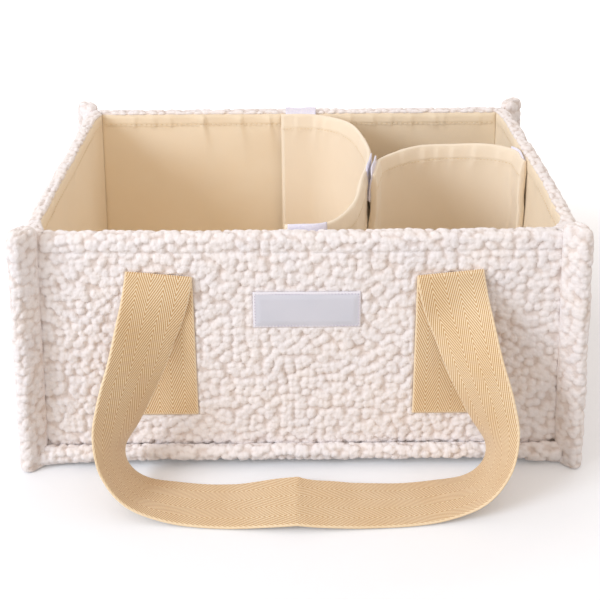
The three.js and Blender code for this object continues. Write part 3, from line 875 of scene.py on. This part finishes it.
# Relief of a hemmed edge: the turned band, the stitches that pull it in, and its puckers
def hemRelief(along, below, cloth, puckers):
    hem, shape, share = cloth["hem"], hemShape, hemShape["shoulderShare"]
    band = smoothStep((hem + shape["overlap"] - below) / shape["step"])
    band = band * (share + (1 - share) * smoothStep(below / shape["shoulder"]))
    fromStitch = below - cloth["stitchBelow"]
    pull = np.exp(-(fromStitch / shape["pullWidth"]) ** 2)
    bead = np.exp(-((fromStitch - shape["beadBelow"]) / shape["beadWidth"]) ** 2)
    beat = np.cos(2 * math.pi * along / cloth["stitchPitch"])
    drawn = pull * (1 - shape["scallop"] + shape["scallop"] * beat)
    relief = cloth["hemProud"] * band
    relief = relief - cloth["tug"] * (drawn + shape["beadShare"] * bead * beat)
    # The band holds a pucker down, and below it the pucker widens and dies away
    for place, width, rise, run in puckers:
        fade = np.where(below < hem, 0.45 + 0.55 * band * np.clip(below / 4, 0.3, 1),
                        np.exp(-np.maximum(below - hem, 0) / run))
        drift = along - place + shape["slant"] * below
        lower = width * (1.15 + np.maximum(below - hem, 0) / 8)
        relief = relief + rise * pleat(drift, lower) * fade * (1 - 0.4 * pull)
    return relief


def liningRelief(side, x, z):
    below, fade = lining["top"] - z, lining["slackFade"]
    loose = smoothStep((below - lining["hem"]) / fade) * smoothStep((z - lining["bottom"]) / fade)
    return (hemRelief(x, below, lining, liningPuckers[side])
            + loose * waves(x, z, lining["waves"]) * lining["slack"])


# Heights of the points of a hemmed face, closer together near its top
def faceHeights(cloth, top):
    change = top - cloth["fineTop"]
    low, high = cloth["levels"]
    return np.concatenate([np.linspace(cloth["bottom"], change, low),
                           np.linspace(change, top, high)[1:]])


def makeLining(side):
    faceZ = faceHeights(lining, lining["top"])
    behindDepth, behindZ = np.transpose(lining["behind"])
    z = np.concatenate([faceZ, behindZ])
    depth = np.concatenate([0 * faceZ + basket["wall"], behindDepth])
    halfRun = halfRunAt(side, z, depth, lining["sideClearance"])
    rows = round(2 * walls[side]["along"] / lining["grid"]) + 1
    x = np.linspace(-1, 1, rows)[:, None] * halfRun
    relief = np.where(np.arange(len(z)) < len(faceZ), liningRelief(side, x, z), 0)
    relief = relief * fromEdge(halfRun, x, lining["edgeFade"])
    return skin(side + "Lining", onWall(side, x, -depth - relief, z))


# The stiff sheet between a wall's cloth and its lining
def makeWallBoard(side):
    faceZ = np.linspace(wallBoard["bottom"], wallBoard["top"], 40)
    z, depth = thereAndBack(faceZ, wallBoard["near"], wallBoard["far"])
    halfRun = halfRunAt(side, z, depth, wallBoard["sideClearance"])
    rows = round(2 * walls[side]["along"] / wallBoard["grid"])
    share = np.sin(np.linspace(-1, 1, rows) * math.pi / 2)[:, None]
    return skin(side + "Board", onWall(side, share * halfRun, -depth, z))


def hemStitchLine(side):
    z = lining["top"] - lining["stitchBelow"]
    reach = halfRunAt(side, z, basket["wall"], lining["edgeFade"])
    x = np.linspace(-reach, reach, round(2 * reach / lining["grid"]))
    relief = liningRelief(side, x, np.full(len(x), z))
    return onWall(side, x, -basket["wall"] - relief - stitchProud, z)


for side in walls:
    fit(makeLining(side), "basket", "lining_cloth", side + "_lining", cloth=liningCloth)
    fit(makeWallBoard(side), "basket", "stiff_board", side + "_board", cloth=felt)
fit(stitches("liningHemStitches", [hemStitchLine(side) for side in walls], creamThread,
             pitch=lining["stitchPitch"], length=2.3, width=0.55), "basket", "lining_cloth")

baseLining = {"bottom": 15.1, "top": 16.5, "inset": 7.8, "fade": 12.0, "slack": 0.8,
              "waves": ((0.35, 23, 31, 0), (0.25, 11, -17, 1))}


def makeBaseLining():
    top, fade = baseLining["top"], baseLining["fade"]
    halfLength, halfWidth = floorHalves(top, baseLining["inset"])
    across = np.linspace(-halfWidth, halfWidth, 90)
    x = np.linspace(-halfLength, halfLength, 130)[:, None]
    edge = fromEdge(halfWidth, across, fade) * fromEdge(halfLength, x, fade)
    topZ = top + waves(x, across, baseLining["waves"]) * edge * baseLining["slack"]
    y = np.append(across, [halfWidth, 0, -halfWidth])
    z = np.concatenate([topZ, np.full((len(x), 3), baseLining["bottom"])], axis=1)
    return skin("baseLiningCloth", together(x, y, z))


fit(makeBaseLining(), "basket", "lining_cloth", "base_lining", cloth=liningCloth)
print("lining made")


divider = {
    "thickness": 5.0,
    "bottom": 16.8,
    "grid": 1.5,
    "fineTop": 27.0,
    "levels": (22, 30),
    "ends": ((0.0, 0.35), (0.25, 0.72), (0.8, 0.93)),  # distance from the end, share of thickness
    "endRound": 1.6,
    "endInset": 2.0,  # the stiff sheet and the stitches stop this far from the ends
    "hem": 13.0,
    "hemProud": 0.5,
    "stitchBelow": 11.6,
    "stitchPitch": 3.6,
    "tug": 0.45,
    "boardHalf": 1.0,
    "boardBelow": 5.0,  # the stiff sheet ends this far under the top
    "topHalf": 1.0,  # half the thickness of its thin top edge
    "taper": 12.0,  # height over which it thins
    "backLift": 1.6,  # the long one stands a little higher at the back wall
    "liftFrom": 45.0,
    "freeAbove": 120.0,  # sway and lift start here
    "freeFade": 50.0,
    "sway": (0.7, 23.0),  # size and length
    "ripple": (0.5, 9.0),
    "rippleReach": 20.0,
    "leanTop": 142.0,  # below here the ends lie closer to what they are fastened to
    "leanFade": 12.0,
}
dividerPlans = {
    "half": 106.2,  # half depth of the long divider's plan
    "bow": 53.5,
    "backEnd": -15.0,
    "backTurn": 8.0,
    "frontTurn": 4.0,
    "frontEnd": -10.0,
    "junctionShare": 0.472,  # where along the long divider the short one is fastened
    "archEnd": 168.2,
    "archDepth": 34.0,
    "tapeStack": 3.3,
}
tape = {"thickness": 1.2, "height": 24.0, "width": 29.0, "aboveDivider": 1.2, "gap": 0.3,
        "belowRim": 4.8, "rightSetback": 6.0, "edge": 0.5,
        "leanBelow": 5.0, "leanOver": 9.0,  # from here under the top, and over this height
        "fuzz": 0.12, "ripple": 0.35}


# A plan line as evenly spaced points 0.5 mm apart, with its directions
class Plan:
    def __init__(self, pieces):
        line = np.vstack(pieces)
        line = line[np.append(True, stepLengths(line) > 1e-6)]
        self.length = stepLengths(line).sum()
        self.points = evenly(line, round(self.length / 0.5) + 1)
        self.at = np.linspace(0, self.length, len(self.points))
        self.ahead = unit(np.gradient(self.points, axis=0))

    # Points at distances along the line and set off to its left
    def place(self, along, left):
        along = np.asarray(along, float)
        x, y = (np.interp(along, self.at, self.points[:, n]) for n in (0, 1))
        tx, ty = (np.interp(along, self.at, self.ahead[:, n]) for n in (0, 1))
        beyond = along - np.clip(along, 0, self.length)
        return together(x + beyond * tx - left * ty, y + beyond * ty + left * tx)

    # The skin whose rings have these offsets and heights
    def upright(self, name, along, left, z):
        left, z = np.broadcast_arrays(left, z)
        places = self.place(np.broadcast_to(along, left.shape), left)
        return skin(name, np.concatenate([places, z[..., None]], -1))


def longDividerPlan():
    plans = dividerPlans

    def bow(across, depth):
        return (across * plans["bow"], depth * plans["half"])

    first, second = (plans["backTurn"], plans["half"]), bow(1, 0.3)
    third, last = bow(0.832, -0.28), (plans["frontTurn"], -plans["half"])
    return Plan([
        np.array([(plans["backEnd"], plans["half"]), first]),
        cubic(first, bow(0.635, 1), bow(0.98, 0.75), second),
        cubic(second, bow(1.01, 0.11), bow(0.88, -0.1), third),
        cubic(third, bow(0.785, -0.47), bow(0.748, -1), last),
        np.array([last, (plans["frontEnd"], -plans["half"])]),
    ])


longPlan = longDividerPlan()
junctionStart = dividerPlans["junctionShare"] * longPlan.length


def shortDividerPlan():
    offset = divider["thickness"] + dividerPlans["tapeStack"]
    along = np.linspace(junctionStart + tape["width"], junctionStart, 20)
    joined = longPlan.place(along, offset)
    start = joined[-1]
    width = dividerPlans["archEnd"] - start[0]

    def arch(across, rise):
        return (start[0] + across * width, start[1] + rise * dividerPlans["archDepth"])

    return Plan([joined, cubic(start, arch(0.035, 0.3), arch(0.257, 1), arch(0.537, 1)),
                 cubic(arch(0.537, 1), arch(0.743, 1), arch(0.995, 0.82), arch(1, 0.41)),
                 np.array([arch(1, 0.41), arch(1, 0.02), arch(1.015, -0.15)])])


# The long one leans at the joint and the short one at both its ends: how far, and over
# what reach
dividers = {
    "long": {"plan": longPlan, "top": 173.8, "lean": (1.2, 24.0), "puckers": [
        (14, 4, 0.9, 6), (31, 5, 1.5, 14), (40, 5, 1.2, 10), (60, 6, 0.9, 6), (96, 6, 0.8, 5),
        (138, 6, 0.8, 6), (190, 6, 0.8, 6), (228, 5, 0.9, 7)]},
    "short": {"plan": shortDividerPlan(), "top": 171.8, "lean": (1.6, 30.0), "puckers": [
        (44, 5, 1.0, 6), (58, 6, 1.2, 6), (78, 7, 1.4, 6), (90, 5, 1.0, 5), (103, 5, 1.2, 5),
        (121, 6, 1.5, 8), (141, 6, 1.1, 8), (158, 5, 1.0, 8)]},
}
shortPlan = dividers["short"]["plan"]


def dividerRelief(kind, along, z):
    return hemRelief(along, dividers[kind]["top"] - z, divider, dividers[kind]["puckers"])


# Half a divider's thickness, which thins towards its top
def dividerHalf(z, top):
    half = divider["thickness"] / 2
    return half + (divider["topHalf"] - half) * smoothStep((z - top) / divider["taper"] + 1)


# A divider moves more freely in its upper part
def freedom(z):
    return smoothStep((z - divider["freeAbove"]) / divider["freeFade"])


# A divider's gentle sway off its plan line
def dividerSway(along, z):
    size, length = divider["sway"]
    return size * np.sin(along / length + 1) * freedom(z)


def endLean(kind, along, z):
    size, reach = dividers[kind]["lean"]
    if kind == "long":
        fromEnd = np.abs(along - junctionStart - tape["width"] / 2)
    else:
        fromEnd = np.minimum(along, shortPlan.length - along)
    fade = divider["leanFade"]
    near = smoothStep((reach - fromEnd) / fade)
    return size * near * smoothStep((divider["leanTop"] - z) / fade)


def dividerLift(y, z):
    near = smoothStep((y - divider["liftFrom"]) / divider["freeFade"])
    return divider["backLift"] * near * freedom(z)


def makeDivider(kind):
    plan, top = dividers[kind]["plan"], dividers[kind]["top"]
    bottom, half, topHalf = divider["bottom"], divider["thickness"] / 2, divider["topHalf"]
    shoulder = top - topHalf
    face = faceHeights(divider, shoulder)
    turn = np.linspace(0, math.pi, 9)[1:-1]
    faceHalf = dividerHalf(face, top)
    # The sleeve is open below: a slot that the stiff sheet goes into
    z = np.concatenate([face, shoulder + topHalf * np.sin(turn), face[::-1], [bottom + 2.5] * 2])
    left = np.concatenate([faceHalf, topHalf * np.cos(turn), -faceHalf[::-1],
                           [1 - half, half - 1]])
    # Rounded ends: the last rings draw in towards the middle
    rows = round(plan.length / divider["grid"]) + 1
    inset, share = np.transpose(divider["ends"])
    along = np.linspace(0, plan.length, rows)
    along[[0, -1]] += [divider["endRound"], -divider["endRound"]]
    along = np.concatenate([inset, along, plan.length - inset[::-1]])
    along = np.maximum.accumulate(along)[:, None]
    shares = np.concatenate([share, np.ones(rows), share[::-1]])[:, None]
    onFace = np.abs(left) > dividerHalf(z, top) - 0.1
    relief = np.where(onFace, dividerRelief(kind, along, z) * np.sign(left), 0)
    left = (left + relief) * shares + dividerSway(along, z) + endLean(kind, along, z)
    (size, length), reach = divider["ripple"], divider["rippleReach"]
    ripple = size * np.sin(along / length) * smoothStep((z - top + reach) / reach)
    y = plan.place(np.broadcast_to(along, left.shape), left)[..., 1]
    return plan.upright(kind + "Divider", along, left, z + ripple + dividerLift(y, z))


# The stiff sheet inside a divider's sleeve
def makeDividerBoard(kind):
    plan, half, inset = dividers[kind]["plan"], divider["boardHalf"], divider["endInset"]
    faceZ = np.linspace(divider["bottom"], dividers[kind]["top"] - divider["boardBelow"], 24)
    z, left = thereAndBack(faceZ, half, -half)
    along = np.linspace(inset, plan.length - inset, round(plan.length / 3))[:, None]
    left = left + dividerSway(along, z) + endLean(kind, along, z)
    return plan.upright(kind + "DividerBoard", along, left, z)


def dividerStitchLines(kind):
    plan, top, inset = dividers[kind]["plan"], dividers[kind]["top"], divider["endInset"]
    along = np.linspace(inset, plan.length - inset, round(plan.length / divider["grid"]))
    z = np.full(len(along), top - divider["stitchBelow"])
    out = dividerHalf(z, top) + dividerRelief(kind, along, z) + stitchProud
    for sign in (1, -1):
        places = plan.place(along, sign * out + dividerSway(along, z))
        yield np.column_stack([places, z + dividerLift(places[:, 1], z)])


for kind in dividers:
    body = kind + "_divider"
    fit(makeDivider(kind), body, "lining_cloth", body + "_cover", cloth=dividerCloth)
    fit(stitches(kind + "DividerStitches", dividerStitchLines(kind), creamThread, width=0.5),
        body, "lining_cloth")
    fit(makeDividerBoard(kind), body, "stiff_board", body + "_board", cloth=felt)
print("dividers made")


# A tape's closed ring of offsets and heights, with soft edges
def tapeRing(near, top, height):
    faceZ = np.linspace(top - height + tape["edge"], top - tape["edge"], 14)
    far = near + tape["thickness"]
    middle = (near + far) / 2
    out = np.concatenate([0 * faceZ + far, [middle], 0 * faceZ + near, [middle]])
    return out, np.concatenate([faceZ, [top], faceZ[::-1], [top - height]])


# A tape on a divider: it may rise above the cloth and lean off it there
def dividerTape(kind, place, start, width, rise=0.0, lean=0.0):
    plan, half = dividers[kind]["plan"], divider["thickness"] / 2
    top = dividers["short" if place == "side" else kind]["top"]
    out, z = tapeRing(half + tape["gap"], top + tape["aboveDivider"] + rise,
                      tape["height"] + rise)
    along = np.linspace(start, start + width, 24)[:, None]
    out = out + dividerHalf(z, top) - half
    out = out + lean * smoothStep((z - top + tape["leanBelow"]) / tape["leanOver"])
    out = out + tape["fuzz"] * np.sin(along * 2.3 + z)
    ripple = tape["ripple"] * np.sin(along / 3.1) * smoothStep((z - top) / 3)
    piece = plan.upright(kind + place.title() + "Tape", along, out, z + ripple)
    fit(piece, kind + "_divider", "hook_tape", f"{kind}_divider_{place}_tape", cloth=tapeCloth)


dividerTape("long", "back", start=4, width=24.5, rise=5.0, lean=3.2)
dividerTape("long", "front", start=longPlan.length - 27.5, width=25.5)
dividerTape("long", "side", start=junctionStart + 2, width=25, rise=4.5, lean=0.3)
dividerTape("short", "left", start=0, width=24, rise=4.0, lean=0.5)
dividerTape("short", "right", start=shortPlan.length - tape["width"],
            width=tape["width"] - tape["rightSetback"])


def wallTape(side, middle, setback=0.0):
    depth, z = tapeRing(basket["wall"] + tape["gap"], basket["rim"] - tape["belowRim"],
                        tape["height"])
    half = tape["width"] / 2
    x = np.linspace(middle - half + setback, middle + half, 24)[:, None]
    fit(skin(side + "WallTape", onWall(side, x, -depth, z)), "basket", "hook_tape",
        side + "_wall_tape", cloth=tapeCloth)


halfTape = tape["width"] / 2
wallTape("back", -longPlan.place(halfTape, 0)[0])
wallTape("front", longPlan.place(longPlan.length - halfTape, 0)[0])
wallTape("right", shortPlan.place(shortPlan.length - halfTape, 0)[1], tape["rightSetback"])
print("tapes made")


def makeLabel():
    halfWidth, halfHeight = label["width"] / 2, label["height"] / 2
    upZ = np.linspace(-halfHeight, halfHeight, 34)
    x = np.linspace(-halfWidth, halfWidth, 90)[:, None]
    fromX, fromZ = halfWidth - np.abs(x), halfHeight - np.abs(upZ)
    # Soft pillow: pulled down along the stitches, a little loose in the middle
    inset, seam = np.minimum(fromX, fromZ), label["stitchInset"]
    pillow = label["pillow"] * smoothStep((inset - seam - 0.1) / 4)
    pillow = pillow - label["seamDip"] * np.exp(-((inset - seam) / 0.5) ** 2)
    wave = label["edgeWave"] * np.sin(x / 6.1 + 0.5) * np.exp(-fromZ / 3)
    face = label["out"] + label["thickness"] + label["raise"] + pillow + wave
    face = face - label["edgeDrop"] * (1 - smoothStep(inset / 0.7))
    out = np.concatenate([face, np.full((len(x), 2), label["out"])], axis=1)
    z = np.append(upZ, [halfHeight, -halfHeight]) + label["z"]
    uv = np.concatenate([together(fromX, fromZ), np.zeros((len(x), 2, 2))], axis=1)
    return skin("sewnLabel", onWall("front", label["x"] + x, out, z), uv=uv)


def labelStitchLine():
    seam = label["stitchInset"]
    halfWidth, halfHeight = label["width"] / 2 - seam, label["height"] / 2 - seam
    loop = [(-1, -1), (1, -1), (1, 1), (-1, 1), (-1, -1)]
    line = evenly([(a * halfWidth, b * halfHeight) for a, b in loop], 150)
    out = label["out"] + label["thickness"] + label["raise"] - label["stitchSunk"]
    return onWall("front", label["x"] + line[:, 0], out, label["z"] + line[:, 1])


fit(makeLabel(), "basket", "satin_label", "front_label", cloth=satin)
fit(stitches("labelStitches", [labelStitchLine()], mauveThread, pitch=2.2, length=1.3,
             width=0.35), "basket", "satin_label")
print("label made")


# Stations of half the loop from the fold to its middle: outer edge (out from the middle of
# the handle, forwards of the fold, height) and direction to the inner edge
loopStations = [
    ((118, 0, 147), (-0.995, 0, -0.1)), ((119.5, 3, 139.5), (-0.97, 0.03, -0.22)),
    ((121, 10, 130.5), (-0.9, 0.2, -0.4)), ((123, 18, 122), (-0.83, 0.32, -0.46)),
    ((128, 33, 101), (-0.77, 0.49, -0.41)), ((135, 44, 78), (-0.71, 0.62, -0.34)),
    ((139, 52, 56), (-0.58, 0.77, -0.27)), ((136, 59.5, 36), (-0.27, 0.93, -0.24)),
    ((131, 63, 25.5), (-0.16, 0.95, -0.24)), ((124, 66.5, 17), (-0.13, 0.965, -0.215)),
    ((114, 69.5, 9.8), (-0.13, 0.975, -0.16)), ((92, 73.5, 3.2), (-0.13, 0.99, -0.04)),
    ((69, 76.5, 1.4), (-0.11, 0.994, 0)), ((23, 79.4, 1.9), (-0.035, 0.999, 0.05)),
]
middleStation = ((0, 80, 1.8), (0, 1, 0.01))
webbingGrid = {"row": 1.95, "columns": 22, "edge": 0.03, "edgeStep": 0.012, "edgeLeast": 0.35,
               "foldRadius": 1.25}
# The strap's fold in its middle, which falls off more steeply to the right
crease = {"at": -6.0, "leftReach": 46.0, "rightReach": 42.0, "outerRise": 3.4,
          "innerRise": 7.6, "sharpness": 1.5, "below": 30.0, "fade": 20.0}
blendOver = (2.32, 2.58)  # distances out of the wall face at the fold; the points they give are worked out below and not used


# Catmull-Rom line through points, with the knots spaced by the root of their distance
def throughPoints(points, spacing):
    ahead = np.vstack([2 * points[0] - points[1], points, 2 * points[-1] - points[-2]])
    gaps = stepLengths(ahead)
    knots = runningSum(gaps ** 0.5)
    made = []
    for n in range(1, len(ahead) - 2):
        steps = max(2, round(gaps[n] / spacing))
        t = np.linspace(knots[n], knots[n + 1], steps, endpoint=False)[:, None]

        def between(p, q, low, high):
            early, late = knots[n + low], knots[n + high]
            return (late - t) / (late - early) * p + (t - early) / (late - early) * q

        p0, p1, p2, p3 = ahead[n - 1:n + 3]
        a, b, c = between(p0, p1, -1, 0), between(p1, p2, 0, 1), between(p2, p3, 1, 2)
        made.append(between(between(a, b, -1, 1), between(b, c, 0, 2), 0, 1))
    return np.vstack(made + [points[-1:]])


def loopEdges():
    foldY = -(basket["halfWidth"] + spreadAt(handle["foldHeight"]) + handle["foldOut"])
    stations = [(s, -1) for s in loopStations] + [(middleStation, 1)]
    stations += [(s, 1) for s in reversed(loopStations)]
    outer, inner = [], []
    for ((out, forward, up), across), hand in stations:
        edge = np.array([hand * out, foldY - forward, up])
        across = np.array([hand * across[0], across[1], across[2]])
        outer.append(edge)
        inner.append(edge + unit(across) * handle["width"])
    both = throughPoints(np.hstack([outer, inner]), webbingGrid["row"])
    outer, inner = both[:, :3], both[:, 3:]
    beyond = outer[:, 0] - crease["at"]
    reach = np.where(beyond > 0, crease["rightReach"], crease["leftReach"])
    fold = np.clip(1 - np.abs(beyond) / reach, 0, 1) ** crease["sharpness"]
    fold = fold * smoothStep((crease["below"] - outer[:, 2]) / crease["fade"])
    outer[:, 2] += crease["outerRise"] * fold
    inner[:, 2] += crease["innerRise"] * fold
    return outer + [handle["centreX"], 0, 0], inner + [handle["centreX"], 0, 0]


# One edge of a tab and its fold, from the cut end up to an end of the loop
def tabEdge(end):
    x, y, foldTop = end
    up = np.linspace(handle["tabBottom"], foldTop, 80)
    points = onWall("front", x, handle["tabOut"], up)
    points[:, 2] = up
    startY = points[-1, 1]
    turn = np.linspace(0, 1, 8)[1:-1] * math.pi
    bend = np.column_stack([0 * turn + x, startY + (y - startY) / 2 * (1 - np.cos(turn)),
                            foldTop + webbingGrid["foldRadius"] * np.sin(turn)])
    return np.vstack([points, bend])


def makeHandle(name, turn):
    first, second = (np.vstack([tabEdge(edge[0]), edge, tabEdge(edge[-1])[::-1]])
                     for edge in loopEdges())
    middle = (first + second) / 2
    along = runningSum(stepLengths(middle))
    across = second - first
    normal = unit(np.cross(across, unit(np.gradient(middle, axis=0))))
    # Shares of the width, closer together where both edges are rounded
    edge, step = webbingGrid["edge"], webbingGrid["edgeStep"]
    share = np.linspace(edge, 1 - edge, webbingGrid["columns"])
    share = np.concatenate([[0, step], share, [1 - step, 1]])
    bevel = np.clip(1 - np.minimum(share, 1 - share) / edge, 0, 1)
    thick = handle["thickness"] / 2 * np.clip(np.sqrt(1 - bevel ** 2),
                                              webbingGrid["edgeLeast"], 1)
    shares = np.concatenate([share, share[::-1]])
    heights = np.concatenate([thick, -thick[::-1]])
    rings = (first[:, None] + across[:, None] * shares[None, :, None]
             + normal[:, None] * heights[None, :, None])
    x, y, z = np.moveaxis(rings, -1, 0)
    rings = together(*turned(x, y, turn), z)
    uv = together(shares * handle["width"], along[:, None])
    fromCut = np.broadcast_to(np.minimum(along, along[-1] - along)[:, None], rings.shape[:2])
    piece = skin(name, rings, {"fromCut": fromCut}, uv)
    piece.data.materials.append(webbing)
    return piece


for side, turn, sign in (("front", 0.0, 1), ("back", math.pi, -1)):
    piece = makeHandle(side + "Handle", turn)
    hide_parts(side + "_handle_left_tab", side + "_handle_right_tab",
                side + "_handle_loop")
    lean = Vector((0, -sign * basket["rim"], basket["spread"])).normalized()
    fold = basket["halfWidth"] + spreadAt(handle["foldHeight"])
    at = Vector((0, -sign * fold, handle["foldHeight"]))
    start, end = (tuple((at + lean * out) * metresPerMm) for out in blendOver)
    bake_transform(piece)
    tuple(start)
    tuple(end)
print("handles made")


for slot in bpy.data.objects["base_board"].material_slots:
    slot.link = "OBJECT"
    slot.material = felt


studio = {
    "keyPlace": (-1.76, -1.22, 1.18), "keyAim": (0, 0, 0.08), "keySize": 1.0,
    "keyPower": 29.0, "keyColour": "#ECF4FF",
    "worldStrength": 0.85, "worldColour": "#FFF5EC",
    "floorColour": "#F2F5FA", "bounceColour": "#C8C8C8", "floorReach": 6.0,
    "nearGlow": 0.1, "farGlow": 0.62, "glowFrom": 0.26, "glowTo": 0.75,
}
view = {
    "place": (0.0001, -0.7707, 0.4845),
    "pitch": math.radians(90 - 25.87),
    "roll": math.radians(-0.39),
    "focalPixels": 1108.7,
    "imagePixels": 600,
    "sensor": 36.0,
    "opticalRow": 240,  # the optical axis meets the image above its middle
}


# 1 for the rays that see the white backdrop itself, 0 for those that only light the piece
def seenBy(add, first, *others):
    rays = add("LightPath").outputs
    seen = rays[first]
    for kind in others:
        seen = add("Math.MAXIMUM", [seen, rays[kind]]).outputs[0]
    return seen


def makeFloor():
    reach = studio["floorReach"]
    corners = [(x * reach, y * reach, 0) for x, y in ((-1, -1), (1, -1), (1, 1), (-1, 1))]
    floor = newObject("studioFloor", newMesh("studioFloor", corners, faces=[(0, 1, 2, 3)]))
    # White seamless paper: the camera sees it lifted to white, with soft shadows left
    material = bpy.data.materials.new("seamlessPaper")
    add = emptyNodes(material)
    paper = add("BsdfDiffuse", {"Color": studio["floorColour"]})
    bounce = add("BsdfDiffuse", {"Color": studio["bounceColour"]})
    distance = add("VectorMath.LENGTH", [add("TexCoord").outputs["Object"]])
    glow = add("MapRange", {"Value": distance, "From Min": studio["glowFrom"],
                            "From Max": studio["glowTo"], "To Min": studio["nearGlow"],
                            "To Max": studio["farGlow"]})
    white = add("Emission", {"Color": "#FFFFFF", "Strength": glow})
    lifted = add("AddShader", [paper, white])
    seen = seenBy(add, "Is Camera Ray", "Is Glossy Ray", "Is Transmission Ray")
    add("OutputMaterial", [add("MixShader", [seen, bounce, lifted])])
    floor.data.materials.append(material)


def makeWorld():
    world = bpy.data.worlds.new("studioWorld")
    bpy.context.scene.world = world
    add = emptyNodes(world)
    light = add("Background", {"Color": studio["worldColour"],
                               "Strength": studio["worldStrength"]})
    white = add("Background", {"Color": "#FFFFFF", "Strength": 1.0})
    seen = seenBy(add, "Is Camera Ray", "Is Glossy Ray")
    add("OutputWorld", [add("MixShader", [seen, light, white])])


def makeLamp():
    light = bpy.data.lights.new("keyLamp", "AREA")
    light.shape = "DISK"
    light.size = studio["keySize"]
    light.energy = studio["keyPower"]
    light.color = linear(studio["keyColour"])[:3]
    place = Vector(studio["keyPlace"])
    turn = (Vector(studio["keyAim"]) - place).to_track_quat("-Z", "Y").to_matrix().to_4x4()
    newObject("keyLamp", light).matrix_world = Matrix.Translation(place) @ turn


def makeCamera():
    lens = bpy.data.cameras.new("photoCamera")
    lens.sensor_width = view["sensor"]
    lens.lens = view["focalPixels"] * view["sensor"] / view["imagePixels"]
    lens.shift_y = view["opticalRow"] / view["imagePixels"] - 0.5
    camera = newObject("photoCamera", lens)
    camera.matrix_world = (Matrix.Translation(view["place"])
                           @ Matrix.Rotation(view["pitch"], 4, "X")
                           @ Matrix.Rotation(view["roll"], 4, "Z"))
    bpy.context.scene.camera = camera


makeFloor()
makeWorld()
makeLamp()
makeCamera()
bpy.context.scene.view_settings.view_transform = "Standard"
print("studio made")
